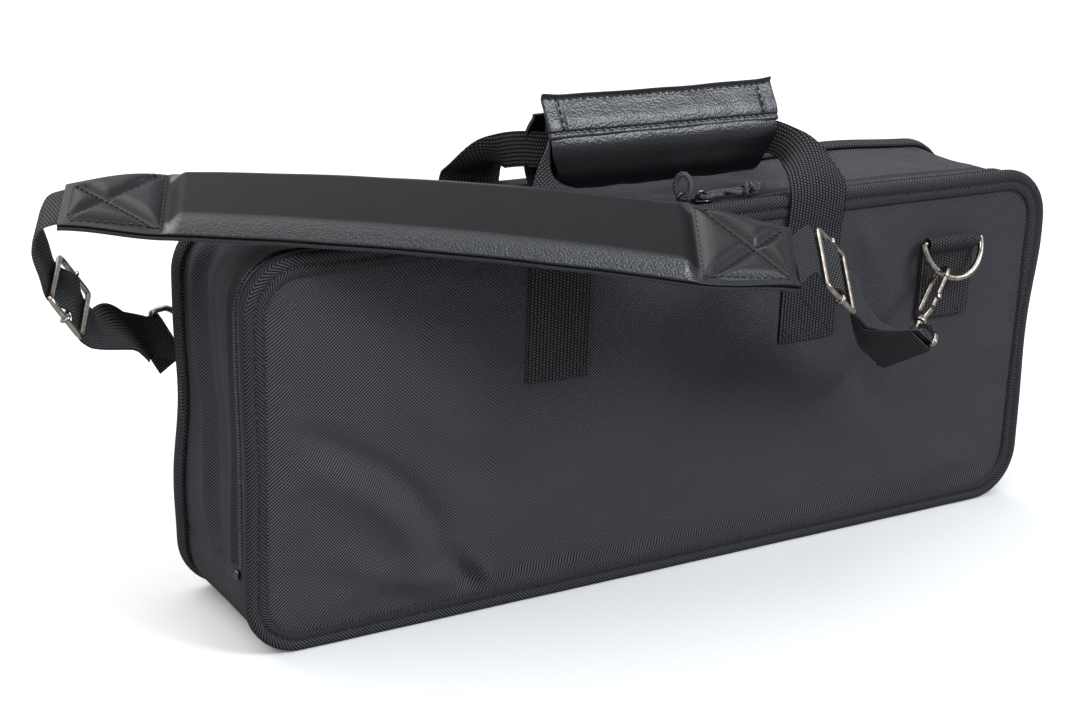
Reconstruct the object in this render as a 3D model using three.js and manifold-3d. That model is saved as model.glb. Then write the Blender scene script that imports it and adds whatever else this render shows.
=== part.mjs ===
// A keyboard gig bag: a padded cloth case whose front panel is a zipped lid, with two webbing
// handles in a wrapped grip and a padded shoulder strap clipped to two D-rings.
// Millimetres, +Z up, +X along the bag, the front faces -Y, origin at the middle of the base.
import * as THREE from 'three';
import { mergeVertices } from 'three/addons/utils/BufferGeometryUtils.js';
import Module from 'manifold-3d';

const wasm = await Module();
wasm.setup();

// The bag's driving sizes
const LENGTH = 540;
const HEIGHT = 218;
const DEPTH = 100;
const CORNER_RADIUS = 32;
const WEBBING_WIDTH = 40;
const WEBBING_THICK = 1.4;

// Clearances: between sewn layers, between wires that run on each other, and past an edge in a cut
const GAP = 0.3;
const RUN_GAP = 0.35;
const OVERRUN = 20;

const FRONT = -DEPTH / 2;
const BACK = DEPTH / 2;

// Walls: outer cloth, foam and lining, and the binding tape that stands proud of them
const cloth = { thick: 1.2, foam: 5, lining: 1 };
const binding = { proud: 1.5, band: 12, lip: 2, reach: 8.2 };
const gusset = { inset: 4 };

// Zip: two tapes and two coils round three sides, down to the end stops
const zip = {
  tapeFront: 5.8, coil: 1.8, coilHeight: 2, tapeBack: 11, endHeight: 45,
  stopLength: 5, stopSide: 4.2, stopHeight: 2.4,
};
const slider = {
  length: 11, width: 9, plate: 2.3, lift: 0.5, meeting: 10, spacing: 13,
  bail: 2.2, bailRise: 5.5, bailHalf: 2.75,
};
const pull = {
  cord: 3, loopHeight: 13, loopWidth: 7, loopCord: 2.2, eyeLength: 6.6, eyeWidth: 8.2,
  length: 34, knot: 7, knotLength: 9,
};

// The lid folds at the top of the hem along the base
const lid = { foldHeight: 14 };

// The grip's sheet, by rises from the bag's top edge, and its closing flap and tapes
const grip = {
  length: 150, flapLength: 156, thick: 2.4, clear: 6, bellyRise: 22, shutRise: 20, closureRise: 15,
  backRise: 1.9, bellyHalf: 15, shutHalf: 5, middle: -6.5, flapStart: 35, tapeThick: 1.2, tapeInset: 5,
  tapeDrop: 10, flapLean: 1, flapSwell: 2.4,
};
const grippedShares = { shoulder: 0.86, foot: 0.5, flap: 0.82 };

// Handles: sewn patches on each face, and webbing loops that meet in the grip
const handle = {
  spread: 86, patchBottom: 130, patchProud: 1.6, foldHeight: 212, bow: 0.4, lean: 1.6, leanRise: 6.7,
  topFront: -11, barSpacing: 9, barHeight: 18, barThick: 4, topWidth: 22, coreClear: 2.6, coreDrop: 10.5,
};
const legShares = { shoulder: 0.25, crown: 0.5, shoulderDrop: 0.2, crownDrop: 0.04 };

// D-rings and their tabs, and where on its arc each ring takes the hook's pull
const ring = {
  centre: 191, barHeight: 180, inner: 20.8, wire: 4, tabBottom: 131, tabWrap: 2.1,
};
const RING_LEAN = 22;
const FRONT_PULL = 235.5;
const REAR_PULL = 205;

// Snap hooks, along their own length from the ring's wire to the swivel eye
const hook = {
  wire: 3.4, bend: 6, spineEnd: 27, nose: 3, neck: 37, collar: 39, collarRadius: 3.8,
  gateStart: 3.6, gateEnd: 28, gateWire: 2.8, lugEnd: 30, lugRise: 3,
};
const eye = { wire: 3.4, half: 22.6, neckRadius: 2.7, collarLength: 4, shoulder: 9 };
const eyeShares = {
  straight: 0.5, corner: 0.98, cheek: 0.86, jaw: 0.5, throat: 0.18, cornerRun: 0.6, jawRun: 0.4,
};
const FRONT_EYE_TURN = 0;
const REAR_EYE_TURN = 90;

// Wire adjusters with a sliding middle bar
const adjuster = { wire: 3.2, half: 24, run: 12.5, bar: 2.6, clasp: 1.1, corner: 3.2 };
const cornerShare = 0.3;

// Shoulder pad: a strip with tapered ends, twisting as it lies over the front left corner
const pad = {
  leftX: -337, leftY: 18, leftZ: 235.5, middleX: -168, middleY: -58, middleZ: 230.5,
  rightX: 3, rightY: -138, rightZ: 210,
  width: 67, endWidth: 49, base: 1.6, foam: 6.2, crown: 2.6, cover: 1.6, lip: 4, endThick: 2.6,
};
const padTiltShares = [0.18, 0.32, 0.44];
const padBoxShares = [0.14, 0.86];
const padStationShares = [0, 0.05, 0.1, 0.135, 0.145, 0.17, 0.25, 0.35, 0.45, 0.55, 0.65, 0.75,
  0.83, 0.855, 0.865, 0.9, 0.95, 1];
const padProfileShares = [-1, -0.96, -0.8, -0.5, 0, 0.5, 0.8, 0.96, 1];
const padEdgeShare = 1 / 6;

// Where the strap's webbing runs, from its pad to the snap hooks: the middle of the band
const frontRoute = { adjuster: [50, -116, 193], eye: [130, -91, 126.5] };
const rearRoute = {
  fromPad: [[-346, 19, 232.5], [-350, 19, 222], [-347, 18, 209]],
  adjuster: [-335, 17, 189],
  toEye: [[-318, 28, 174], [-298, 48, 159], [-283, 63, 149]],
  eye: [-265, 69, 142],
};
const weaveRunShares = [-1.7, -1, -0.5, 0, 0.5, 1, 1.7];
const weaveRiseShares = [-0.6, -1, -0.2, 1, -0.2, -1, -0.6];
const wayOutShares = [0.25, 0.5, 0.75];
const wayBackShares = [0.3, 0.6, 0.85];
const tailShare = 1 / 3;

// Polygon counts
const WIRE_SIDES = 8;
const CORD_SIDES = 6;
const TURN_STEPS = 8;
const LEG_STEPS = 14;
const RING_STEPS = 16;

const colour = {
  cloth: 0x333036, lining: 0x2a2a2e, foam: 0x55565a, tape: 0x1b1b1e, webbing: 0x1e1e21,
  leather: 0x1f2023, under: 0x17171a, metal: 0x8e8780, coil: 0x2c3038,
};

const X = new THREE.Vector3(1, 0, 0);
const Y = new THREE.Vector3(0, 1, 0);
const Z = new THREE.Vector3(0, 0, 1);

const bag = new THREE.Group();

function add(name, body, colourName, roughness = 0.9, metalness = 0) {
  const geometry = body.isBufferGeometry ? body : geometryOf(body);
  const finish = new THREE.MeshStandardMaterial({ color: colour[colourName], roughness, metalness });
  const mesh = new THREE.Mesh(geometry, finish);
  mesh.name = name;
  bag.add(mesh);
}

// Solids for cuts and joins
function solid(geometry) {
  const bare = geometry.index ? geometry.toNonIndexed() : geometry.clone();
  for (const key of Object.keys(bare.attributes)) {
    if (key !== 'position') bare.deleteAttribute(key);
  }
  const merged = mergeVertices(bare);
  return new wasm.Manifold(new wasm.Mesh({
    numProp: 3,
    vertProperties: new Float32Array(merged.attributes.position.array),
    triVerts: new Uint32Array(merged.index.array),
  }));
}

function geometryOf(body) {
  const mesh = body.getMesh();
  const geometry = new THREE.BufferGeometry();
  geometry.setAttribute('position', new THREE.BufferAttribute(mesh.vertProperties, 3));
  geometry.setIndex(new THREE.BufferAttribute(mesh.triVerts, 1));
  return geometry;
}

function joined(...geometries) {
  return geometries.map(solid).reduce((whole, piece) => whole.add(piece));
}

// A block between two corners, whose y places may come in either order
function block(x0, x1, y0, y1, z0, z1) {
  const box = new THREE.BoxGeometry(x1 - x0, Math.abs(y1 - y0), z1 - z0);
  return box.translate((x0 + x1) / 2, (y0 + y1) / 2, (z0 + z1) / 2);
}

function keepAbove(body, height) {
  const far = LENGTH + OVERRUN;
  return body.subtract(solid(block(-far, far, -far, far, -far, height)));
}

function keepBelow(body, height) {
  const far = LENGTH + OVERRUN;
  return body.subtract(solid(block(-far, far, -far, far, height, far)));
}

// The bag's outline in XZ, drawn in by an inset, with its base at a height of its own
function outline(inset, Kind = THREE.Shape, low = inset) {
  const shape = new Kind();
  const x = LENGTH / 2 - inset;
  const high = HEIGHT - inset;
  const r = CORNER_RADIUS - inset;
  shape.moveTo(-x + r, low);
  shape.lineTo(x - r, low);
  shape.absarc(x - r, low + r, r, -Math.PI / 2, 0);
  shape.absarc(x - r, high - r, r, 0, Math.PI / 2);
  shape.absarc(-x + r, high - r, r, Math.PI / 2, Math.PI);
  shape.absarc(-x + r, low + r, r, Math.PI, Math.PI * 1.5);
  return shape;
}

// Extrudes a shape drawn in XZ from y0 to y1
function slab(shape, y0, y1) {
  const body = new THREE.ExtrudeGeometry(shape, { depth: y1 - y0, bevelEnabled: false, curveSegments: 5 });
  body.rotateX(Math.PI / 2);
  return body.translate(0, y1, 0);
}

function panel(inset, y0, y1) {
  return solid(slab(outline(inset), y0, y1));
}

function band(outerInset, innerInset, y0, y1, drop = 0) {
  const shape = outline(outerInset, THREE.Shape, outerInset - drop);
  shape.holes.push(outline(innerInset, THREE.Path, innerInset - drop));
  return solid(slab(shape, y0, y1));
}

// A ring of the gusset, which lies flat on the floor along the base
function gussetBand(outerInset, innerInset, y0, y1) {
  return band(outerInset, innerInset, y0, y1, gusset.inset);
}

// A closed solid through sections: each is a ring of [u, v] places in its own frame.
// The diagonals of its two broad sides run the same way, so that a twisted strip keeps its thickness.
function loft(sections, closed = false) {
  const count = sections[0].ring.length;
  const positions = [];
  const index = [];
  for (const { ring: places, origin, u, v } of sections) {
    for (const [a, b] of places) {
      const p = origin.clone().addScaledVector(u, a).addScaledVector(v, b);
      positions.push(p.x, p.y, p.z);
    }
  }
  const last = closed ? sections.length : sections.length - 1;
  for (let i = 0; i < last; i += 1) {
    const next = (i + 1) % sections.length;
    for (let j = 0; j < count; j += 1) {
      const k = (j + 1) % count;
      const [a, b, c, d] = [i * count + j, i * count + k, next * count + k, next * count + j];
      if (j < count / 2) index.push(a, b, c, a, c, d);
      else index.push(a, b, d, b, c, d);
    }
  }
  if (!closed) {
    const caps = [sections[0], sections[sections.length - 1]];
    const shift = (sections.length - 1) * count;
    for (const [end, cap] of caps.entries()) {
      const places = cap.ring.map(([a, b]) => new THREE.Vector2(a, b));
      const turned = THREE.ShapeUtils.isClockWise(places) !== (end === 1);
      for (const [a, b, c] of THREE.ShapeUtils.triangulateShape(places, [])) {
        const face = turned ? [a, b, c] : [a, c, b];
        index.push(...face.map((corner) => end * shift + corner));
      }
    }
  }
  const geometry = new THREE.BufferGeometry();
  geometry.setAttribute('position', new THREE.Float32BufferAttribute(positions, 3));
  geometry.setIndex(index);
  return outward(geometry);
}

// Turns a closed mesh's faces outward
function outward(geometry) {
  const p = geometry.attributes.position;
  const index = geometry.index;
  const [a, b, c] = [new THREE.Vector3(), new THREE.Vector3(), new THREE.Vector3()];
  let volume = 0;
  for (let i = 0; i < index.count; i += 3) {
    a.fromBufferAttribute(p, index.getX(i));
    b.fromBufferAttribute(p, index.getX(i + 1));
    c.fromBufferAttribute(p, index.getX(i + 2));
    volume += a.dot(b.cross(c));
  }
  if (volume < 0) {
    for (let i = 0; i < index.count; i += 3) {
      const keep = index.getX(i + 1);
      index.setX(i + 1, index.getX(i + 2));
      index.setX(i + 2, keep);
    }
  }
  return geometry;
}

// A flat band of webbing along points, each with the way that it lies across
function ribbon(points, acrosses, widths = [], thick = WEBBING_THICK) {
  return loft(points.map((origin, i) => {
    const before = points[Math.max(i - 1, 0)];
    const after = points[Math.min(i + 1, points.length - 1)];
    const u = acrosses[i].clone().normalize();
    const v = after.clone().sub(before).cross(u).normalize();
    const w = (widths[i] ?? WEBBING_WIDTH) / 2;
    const t = thick / 2;
    return { ring: [[-w, -t], [w, -t], [w, t], [-w, t]], origin, u, v };
  }));
}

// Places on a circle or an ellipse, as [u, v]
function ringPlaces(steps, width, height = width, shift = 0) {
  return Array.from({ length: steps }, (_, i) => {
    const angle = (i / steps) * 2 * Math.PI;
    return [shift + Math.cos(angle) * width / 2, Math.sin(angle) * height / 2];
  });
}

// A round wire along points, as an extruded polygon
function wire(points, diameter, steps) {
  const section = new THREE.Shape(ringPlaces(WIRE_SIDES, diameter).map(([x, y]) => new THREE.Vector2(x, y)));
  const extrudePath = new THREE.CatmullRomCurve3(points, false, 'centripetal');
  return new THREE.ExtrudeGeometry(section, { steps, extrudePath, bevelEnabled: false });
}

// A closed loop of wire in the plane of u and v
function wireLoop(places, origin, u, v, diameter, sides = WIRE_SIDES) {
  const normal = u.clone().cross(v).normalize();
  const count = places.length;
  return loft(places.map(([a, b], i) => {
    const [pa, pb] = places[(i + count - 1) % count];
    const [na, nb] = places[(i + 1) % count];
    const along = u.clone().multiplyScalar(na - pa).addScaledVector(v, nb - pb).normalize();
    return {
      ring: ringPlaces(sides, diameter),
      origin: origin.clone().addScaledVector(u, a).addScaledVector(v, b),
      u: along.cross(normal).normalize(),
      v: normal,
    };
  }), true);
}

function rod(from, to, diameter, sides = WIRE_SIDES) {
  const body = new THREE.CylinderGeometry(diameter / 2, diameter / 2, from.distanceTo(to), sides);
  body.applyQuaternion(new THREE.Quaternion().setFromUnitVectors(Y, to.clone().sub(from).normalize()));
  const centre = from.clone().lerp(to, 0.5);
  return body.translate(centre.x, centre.y, centre.z);
}

// A band of even thickness about a route of [y, z] places, carried along X
function sheetAlongX(route, thick, length) {
  const half = thick / 2;
  const sides = [-half, half].map((shift) => route.map(([y, z], i) => {
    const [y0, z0] = route[Math.max(i - 1, 0)];
    const [y1, z1] = route[Math.min(i + 1, route.length - 1)];
    const run = Math.hypot(y1 - y0, z1 - z0);
    return [y + shift * (z1 - z0) / run, z - shift * (y1 - y0) / run];
  }));
  const places = [...sides[1], ...sides[0].reverse()];
  return loft([-length / 2, length / 2].map((x) => ({
    ring: places, origin: X.clone().multiplyScalar(x), u: Y, v: Z,
  })));
}

// Depths of the zip, from the front binding back
const tapeFrontStart = FRONT + binding.reach + GAP;
const coilFrontStart = tapeFrontStart + zip.tapeFront + GAP;
const coilMiddle = coilFrontStart + zip.coil + GAP / 2;
const coilBackStart = coilMiddle + GAP / 2;
const tapeBackStart = coilBackStart + zip.coil + GAP;
const wall = gusset.inset + cloth.thick;

function makeCase() {
  const padded = wall + GAP + cloth.foam;
  const lined = padded + GAP + cloth.lining;
  const backCloth = BACK - binding.proud;
  const backFoam = backCloth - cloth.thick - GAP;
  const backLining = backFoam - cloth.foam - GAP;
  const wallEnd = backLining - cloth.lining - GAP;
  const tapeEnd = tapeBackStart + zip.tapeBack;
  const gussetEnd = BACK - binding.reach - GAP;
  const inside = binding.lip + GAP;

  add('back_panel', panel(inside, backCloth - cloth.thick, backCloth), 'cloth');
  add('back_padding', panel(wall + GAP, backFoam - cloth.foam, backFoam), 'foam');
  add('back_lining', panel(wall + GAP, backLining - cloth.lining, backLining), 'lining');
  const rim = band(0, binding.lip, BACK - binding.reach, BACK);
  add('back_binding', rim.add(band(0, binding.band, backCloth + GAP, BACK)), 'tape');

  const wrap = gussetBand(gusset.inset, wall, tapeEnd + GAP, gussetEnd);
  add('side_gusset', keepAbove(wrap, zip.endHeight + GAP), 'cloth');
  const base = gussetBand(gusset.inset, wall, tapeFrontStart, gussetEnd);
  add('base_gusset', keepBelow(base, zip.endHeight), 'cloth');
  add('gusset_padding', gussetBand(wall + GAP, padded, tapeBackStart, wallEnd), 'foam');
  add('gusset_lining', gussetBand(padded + GAP, lined, tapeBackStart, wallEnd), 'lining');

  const tape = gussetBand(gusset.inset, wall, tapeBackStart, tapeEnd);
  add('zip_tape_case', keepAbove(tape, zip.endHeight + GAP), 'tape');
  const coil = band(wall - zip.coilHeight, wall, coilBackStart, coilBackStart + zip.coil);
  add('zip_coil_case', keepAbove(coil, zip.endHeight + GAP), 'coil', 0.5);
  for (const [side, label] of [[-1, 'left'], [1, 'right']]) {
    const x = side * (LENGTH / 2 - gusset.inset + GAP + zip.stopHeight / 2);
    const stopTop = zip.endHeight - GAP;
    const stop = block(x - zip.stopHeight / 2, x + zip.stopHeight / 2,
      coilMiddle - zip.stopSide / 2, coilMiddle + zip.stopSide / 2, stopTop - zip.stopLength, stopTop);
    add(`zip_stop_${label}`, stop, 'metal', 0.4, 1);
  }

  const hemTop = lid.foldHeight - GAP;
  add('front_hem', keepBelow(panel(inside, FRONT, FRONT + binding.reach), hemTop), 'cloth');
  add('base_binding', keepBelow(frontBinding(), hemTop), 'tape');
}

function frontBinding() {
  const rim = band(0, binding.lip, FRONT - binding.proud, FRONT + binding.reach);
  return rim.add(band(0, binding.band, FRONT - binding.proud, FRONT - GAP));
}

function makeLid() {
  const fold = lid.foldHeight + GAP;
  const inside = binding.lip + GAP;
  const foam = FRONT + cloth.thick + GAP;
  const lining = foam + cloth.foam + GAP;
  add('front_panel', keepAbove(panel(inside, FRONT, FRONT + cloth.thick), fold), 'cloth');
  add('front_padding', keepAbove(panel(inside, foam, foam + cloth.foam), fold), 'foam');
  add('front_lining', keepAbove(panel(inside, lining, lining + cloth.lining), fold), 'lining');
  add('front_binding', keepAbove(frontBinding(), fold), 'tape');
  const tape = band(gusset.inset, wall, tapeFrontStart, tapeFrontStart + zip.tapeFront);
  add('zip_tape_front', keepAbove(tape, zip.endHeight + GAP), 'tape');
  const coil = band(wall - zip.coilHeight, wall, coilFrontStart, coilFrontStart + zip.coil);
  add('zip_coil_front', keepAbove(coil, zip.endHeight + GAP), 'coil', 0.5);
}

// Sliders run on the top of the coils, each with its bail and cord pull
function makeSliders() {
  const low = HEIGHT - wall + zip.coilHeight + slider.lift;
  const plateTop = low + slider.plate;
  const crest = low + slider.bailRise + slider.bail / 2;
  const pivot = (plateTop + crest - slider.bail / 2) / 2;
  const [left, right] = [-1, 1].map((side) => {
    const x = slider.meeting + side * slider.spacing / 2;
    const plate = block(x - slider.length / 2, x + slider.length / 2,
      coilMiddle - slider.width / 2, coilMiddle + slider.width / 2, low, plateTop);
    const bail = wire([
      new THREE.Vector3(x - slider.bailHalf, coilMiddle, plateTop - slider.bail / 2),
      new THREE.Vector3(x - slider.bailHalf, coilMiddle, low + slider.bailRise - slider.bail / 2),
      new THREE.Vector3(x, coilMiddle, crest),
      new THREE.Vector3(x + slider.bailHalf, coilMiddle, low + slider.bailRise - slider.bail / 2),
      new THREE.Vector3(x + slider.bailHalf, coilMiddle, plateTop - slider.bail / 2),
    ], slider.bail, WIRE_SIDES);
    add(`zip_slider_${side < 0 ? 'left' : 'right'}`, joined(plate, bail), 'metal', 0.4, 1);
    return new THREE.Vector3(x, coilMiddle, pivot);
  });
  const standing = ringPlaces(12, pull.loopWidth, pull.loopHeight);
  const middle = left.clone().addScaledVector(Z, pull.loopHeight / 2);
  add('zip_pull_left', wireLoop(standing, middle, Y, Z, pull.loopCord, CORD_SIDES), 'webbing');

  const lying = ringPlaces(10, pull.eyeLength, pull.eyeWidth, pull.eyeLength / 2);
  const loop = wireLoop(lying, right, X, Y, pull.loopCord, CORD_SIDES);
  const end = right.clone().addScaledVector(X, pull.length);
  const cord = rod(right.clone().addScaledVector(X, pull.eyeLength), end, pull.cord);
  const knot = new THREE.SphereGeometry(pull.knot / 2, 10, 6);
  knot.scale(pull.knotLength / pull.knot, 1, 1);
  knot.translate(end.x, end.y, end.z);
  add('zip_pull_right', joined(loop, cord, knot), 'webbing');
}

// Heights of the grip: its underside, its fullest part, where it closes and its top edge
const gripBottom = HEIGHT + grip.clear;
const gripBelly = gripBottom + grip.bellyRise;
const gripShut = gripBelly + grip.shutRise;
const gripTop = gripShut + grip.closureRise;

function makeHandles() {
  for (const [side, label] of [[-1, 'front'], [1, 'back']]) {
    const surface = side * (DEPTH / 2 + (side < 0 ? binding.proud : 0) + GAP);
    makePatches(side, label, surface);
    makeHandleLoop(side, label, surface);
  }
}

// Patches lie on the cloth and step over the binding at their top
function makePatches(side, label, surface) {
  const flat = side < 0 ? FRONT - GAP : BACK - binding.proud + GAP;
  const bindingEdge = HEIGHT - binding.band - GAP;
  for (const [end, hand] of [[-1, 'left'], [1, 'right']]) {
    const x0 = end * handle.spread - WEBBING_WIDTH / 2;
    const x1 = x0 + WEBBING_WIDTH;
    const face = surface + side * handle.patchProud;
    const lower = solid(block(x0, x1, flat, face, handle.patchBottom, bindingEdge));
    const upper = solid(block(x0, x1, surface, face, bindingEdge - OVERRUN, handle.foldHeight));
    add(`${label}_patch_${hand}`, lower.add(upper), 'webbing');
  }
}

// A loop stands on its patches, narrows and leans in, and runs on edge through the grip
function makeHandleLoop(side, label, surface) {
  const barY = handle.topFront + (side < 0 ? 0 : handle.barSpacing);
  const foot = surface + side * handle.patchProud / 2;
  const start = handle.foldHeight + GAP;
  const rise = gripBelly - start;
  const lean = barY - foot;
  const high = grip.length / 2 + GAP + handle.topWidth / 2;
  const legs = [-1, 1].map((end) => {
    const place = (x, y, z) => new THREE.Vector3(end * x, y, z);
    const curve = new THREE.CatmullRomCurve3([
      place(handle.spread, foot, start),
      place(handle.spread, foot + side * handle.bow, HEIGHT),
      place(handle.spread, foot - side * handle.lean, HEIGHT + handle.leanRise),
      place((handle.spread + high) / 2, foot + lean * legShares.shoulder,
        gripBelly - rise * legShares.shoulderDrop),
      place(high, foot + lean * legShares.crown, gripBelly - rise * legShares.crownDrop),
      place(high, barY, gripBelly),
    ], false, 'centripetal');
    const run = curve.getPoints(LEG_STEPS);
    const narrowing = WEBBING_WIDTH - handle.topWidth;
    const widths = run.map((_, i) => WEBBING_WIDTH
      - narrowing * THREE.MathUtils.smoothstep(i / LEG_STEPS, 0.3, 0.75));
    return ribbon(run, run.map(() => X), widths, handle.patchProud);
  });
  const reach = high + handle.topWidth / 2;
  const barTop = gripBelly + handle.patchProud / 2;
  const [y0, y1] = [barY - handle.barThick / 2, barY + handle.barThick / 2];
  const bar = block(-reach, reach, y0, y1, barTop - handle.barHeight, barTop);
  const core = block(-grip.length / 2, grip.length / 2, y0, y1, gripBottom + handle.coreClear,
    gripShut - handle.coreDrop);
  add(`${label}_handle`, joined(legs[0], bar, core, legs[1]), 'webbing');
}

// The grip: a leatherette sheet wrapped under both handles, a flap that closes it, and its tapes
function makeGrip() {
  const { middle, thick, bellyHalf, shutHalf } = grip;
  const upper = (gripShut + gripBelly) / 2;
  const lower = (gripBottom + gripBelly) / 2;
  const seamHeight = gripBottom + grip.flapStart;
  const sideY = (side, half) => middle + side * half;
  const frontRoute = [
    [sideY(-1, bellyHalf * grippedShares.shoulder), seamHeight - GAP],
    [sideY(-1, bellyHalf), gripBelly],
    [sideY(-1, bellyHalf * grippedShares.shoulder), lower],
    [sideY(-1, bellyHalf * grippedShares.foot), gripBottom + thick / 2],
  ];
  const backRoute = [
    [sideY(1, bellyHalf * grippedShares.foot), gripBottom + thick / 2],
    [sideY(1, bellyHalf * grippedShares.shoulder), lower],
    [sideY(1, bellyHalf), gripBelly],
    [sideY(1, bellyHalf * grippedShares.shoulder), upper],
    [sideY(1, shutHalf), gripShut],
    [sideY(1, shutHalf), gripShut + grip.backRise],
  ];
  add('grip_wrap', sheetAlongX([...frontRoute, [middle, gripBottom], ...backRoute], thick, grip.length),
    'leather', 0.5);

  const flapRoute = [
    [sideY(-1, bellyHalf * grippedShares.flap), seamHeight + GAP],
    [sideY(-1, shutHalf + grip.flapSwell), gripShut],
    [sideY(-1, shutHalf - grip.flapLean), gripTop - thick / 2],
  ];
  add('grip_flap', sheetAlongX(flapRoute, thick, grip.flapLength), 'leather', 0.5);

  const tapeHalf = grip.length / 2 - grip.tapeInset;
  const hookFace = sideY(-1, shutHalf) + thick / 2 + GAP;
  add('grip_hook_tape', block(-tapeHalf, tapeHalf, hookFace, hookFace + grip.tapeThick,
    gripShut - grip.flapLean, gripTop - grip.tapeInset), 'tape');
  const loopFace = sideY(1, shutHalf) - thick / 2 - GAP;
  add('grip_loop_tape', block(-tapeHalf, tapeHalf, loopFace - grip.tapeThick, loopFace,
    gripShut - grip.tapeDrop, gripShut + grip.backRise - GAP), 'tape');
}

// A D-ring hanging from its webbing tab; side -1 is on the front panel's right, 1 on the back's left.
// Returns where its wire takes the hook's pull, and the wire's heading there.
function makeRing(side, label, pullAngle) {
  const face = side < 0 ? FRONT - GAP : BACK - binding.proud + GAP;
  const x0 = -side * ring.centre - WEBBING_WIDTH / 2;
  const x1 = x0 + WEBBING_WIDTH;
  const wrap = ring.wire / 2 + ring.tabWrap;
  const barY = face + side * (GAP + wrap + WEBBING_THICK);
  const centre = new THREE.Vector3((x0 + x1) / 2, barY, ring.barHeight);
  const flat = block(x0, x1, face, face + side * WEBBING_THICK, ring.tabBottom, ring.barHeight);
  const bridge = block(x0, x1, face, barY, ring.barHeight - wrap, ring.barHeight + wrap / 2);
  const roll = rod(centre.clone().setX(x0), centre.clone().setX(x1), wrap * 2, 12);
  const bore = rod(centre.clone().setX(x0 - OVERRUN), centre.clone().setX(x1 + OVERRUN),
    ring.wire + RUN_GAP * 2, 12);
  add(`${label}_ring_tab`, joined(flat, roll, bridge).subtract(solid(bore)), 'webbing');

  const radius = ring.inner + ring.wire / 2;
  const arc = Array.from({ length: RING_STEPS + 1 }, (_, i) => {
    const angle = Math.PI + (i / RING_STEPS) * Math.PI;
    return [Math.cos(angle) * radius, Math.sin(angle) * radius];
  });
  const lean = THREE.MathUtils.degToRad(RING_LEAN);
  const up = new THREE.Vector3(0, -side * Math.sin(lean), Math.cos(lean));
  add(`${label}_d_ring`, wireLoop(arc, centre, X, up, ring.wire), 'metal', 0.3, 1);
  const angle = THREE.MathUtils.degToRad(pullAngle);
  return {
    contact: centre.clone().addScaledVector(X, Math.cos(angle) * radius)
      .addScaledVector(up, Math.sin(angle) * radius),
    heading: up.clone().multiplyScalar(Math.cos(angle)).addScaledVector(X, -Math.sin(angle)),
  };
}

// A snap hook and its swivel eye, from the ring's wire towards the strap
function makeHook(label, { contact, heading }, eyeBar, eyeTurn) {
  const along = eyeBar.clone().sub(contact).normalize();
  const normal = squareTo(heading, along);
  const across = normal.clone().cross(along).normalize();
  const b = hook.bend;
  const seat = b - hook.wire / 2 - ring.wire / 2 - RUN_GAP;
  const origin = contact.clone().addScaledVector(along, seat);
  const at = (u, v) => origin.clone().addScaledVector(along, u).addScaledVector(across, v);
  const diagonal = b * Math.SQRT1_2;
  const spine = wire([
    at(hook.neck, 0), at((hook.neck + hook.spineEnd) / 2, b / 2), at(hook.spineEnd, b), at(b, b),
    at(0, b), at(-diagonal, diagonal), at(-b, 0), at(-diagonal, -diagonal), at(0, -b), at(hook.nose, -b),
  ], hook.wire, 24);
  const collar = rod(at(hook.neck - hook.wire, 0), at(hook.collar, 0), hook.collarRadius * 2, 10);
  const lug = wire([at(hook.neck, 0), at(hook.neck - hook.lugRise, -b / 2), at(hook.lugEnd, -b)], hook.wire, 4);
  add(`${label}_hook`, joined(spine, collar, lug), 'metal', 0.3, 1);
  add(`${label}_hook_gate`, rod(at(hook.gateStart, -b), at(hook.gateEnd, -b), hook.gateWire), 'metal', 0.3, 1);

  const eyeAcross = across.clone().applyAxisAngle(along, THREE.MathUtils.degToRad(eyeTurn));
  const throat = hook.collar + RUN_GAP;
  const shoulder = throat + eye.collarLength;
  const bar = along.dot(eyeBar.clone().sub(origin));
  const cheek = [
    [bar, eyeShares.straight], [bar, 1], [bar - eye.shoulder * eyeShares.cornerRun, eyeShares.corner],
    [bar - eye.shoulder, eyeShares.cheek], [shoulder + eye.shoulder * eyeShares.jawRun, eyeShares.jaw],
    [shoulder, eyeShares.throat],
  ];
  const places = [[bar, 0], ...cheek.map(([u, share]) => [u, share * eye.half]),
    ...cheek.map(([u, share]) => [u, -share * eye.half]).reverse()];
  const loop = wireLoop(places, origin, along, eyeAcross, eye.wire);
  const neck = rod(at(throat, 0), at(shoulder + eye.wire / 4, 0), eye.neckRadius * 2, 10);
  add(`${label}_swivel_eye`, joined(loop, neck), 'metal', 0.3, 1);
  return { bar: at(bar, 0), across: eyeAcross };
}

// A rectangular wire adjuster: along is the way the webbing runs, across its width
function makeAdjuster(label, centre, along, across) {
  const { half, run, corner } = adjuster;
  const cut = corner * cornerShare;
  const places = [];
  for (const [a, b] of [[-1, -1], [1, -1], [1, 1], [-1, 1]]) {
    const turn = [
      [a * run, b * (half - corner)], [a * (run - cut), b * (half - cut)], [a * (run - corner), b * half],
    ];
    const middle = a === b ? [0, b * half] : [a * run, 0];
    places.push(...(a === b ? turn : turn.reverse()), middle);
  }
  add(`${label}_adjuster_frame`, wireLoop(places, centre, along, across, adjuster.wire), 'metal', 0.3, 1);
  const claspRadius = adjuster.wire / 2 + RUN_GAP + adjuster.clasp;
  const normal = along.clone().cross(across).normalize();
  const ends = [-1, 1].map((end) => centre.clone().addScaledVector(across, end * half));
  const bar = rod(ends[0].clone().addScaledVector(across, claspRadius),
    ends[1].clone().addScaledVector(across, -claspRadius), adjuster.bar);
  const round = ringPlaces(10, claspRadius * 2);
  const clasps = ends.map((end) => wireLoop(round, end, across, normal, adjuster.clasp * 2, CORD_SIDES));
  add(`${label}_adjuster_bar`, joined(bar, ...clasps), 'metal', 0.3, 1);
}

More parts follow.
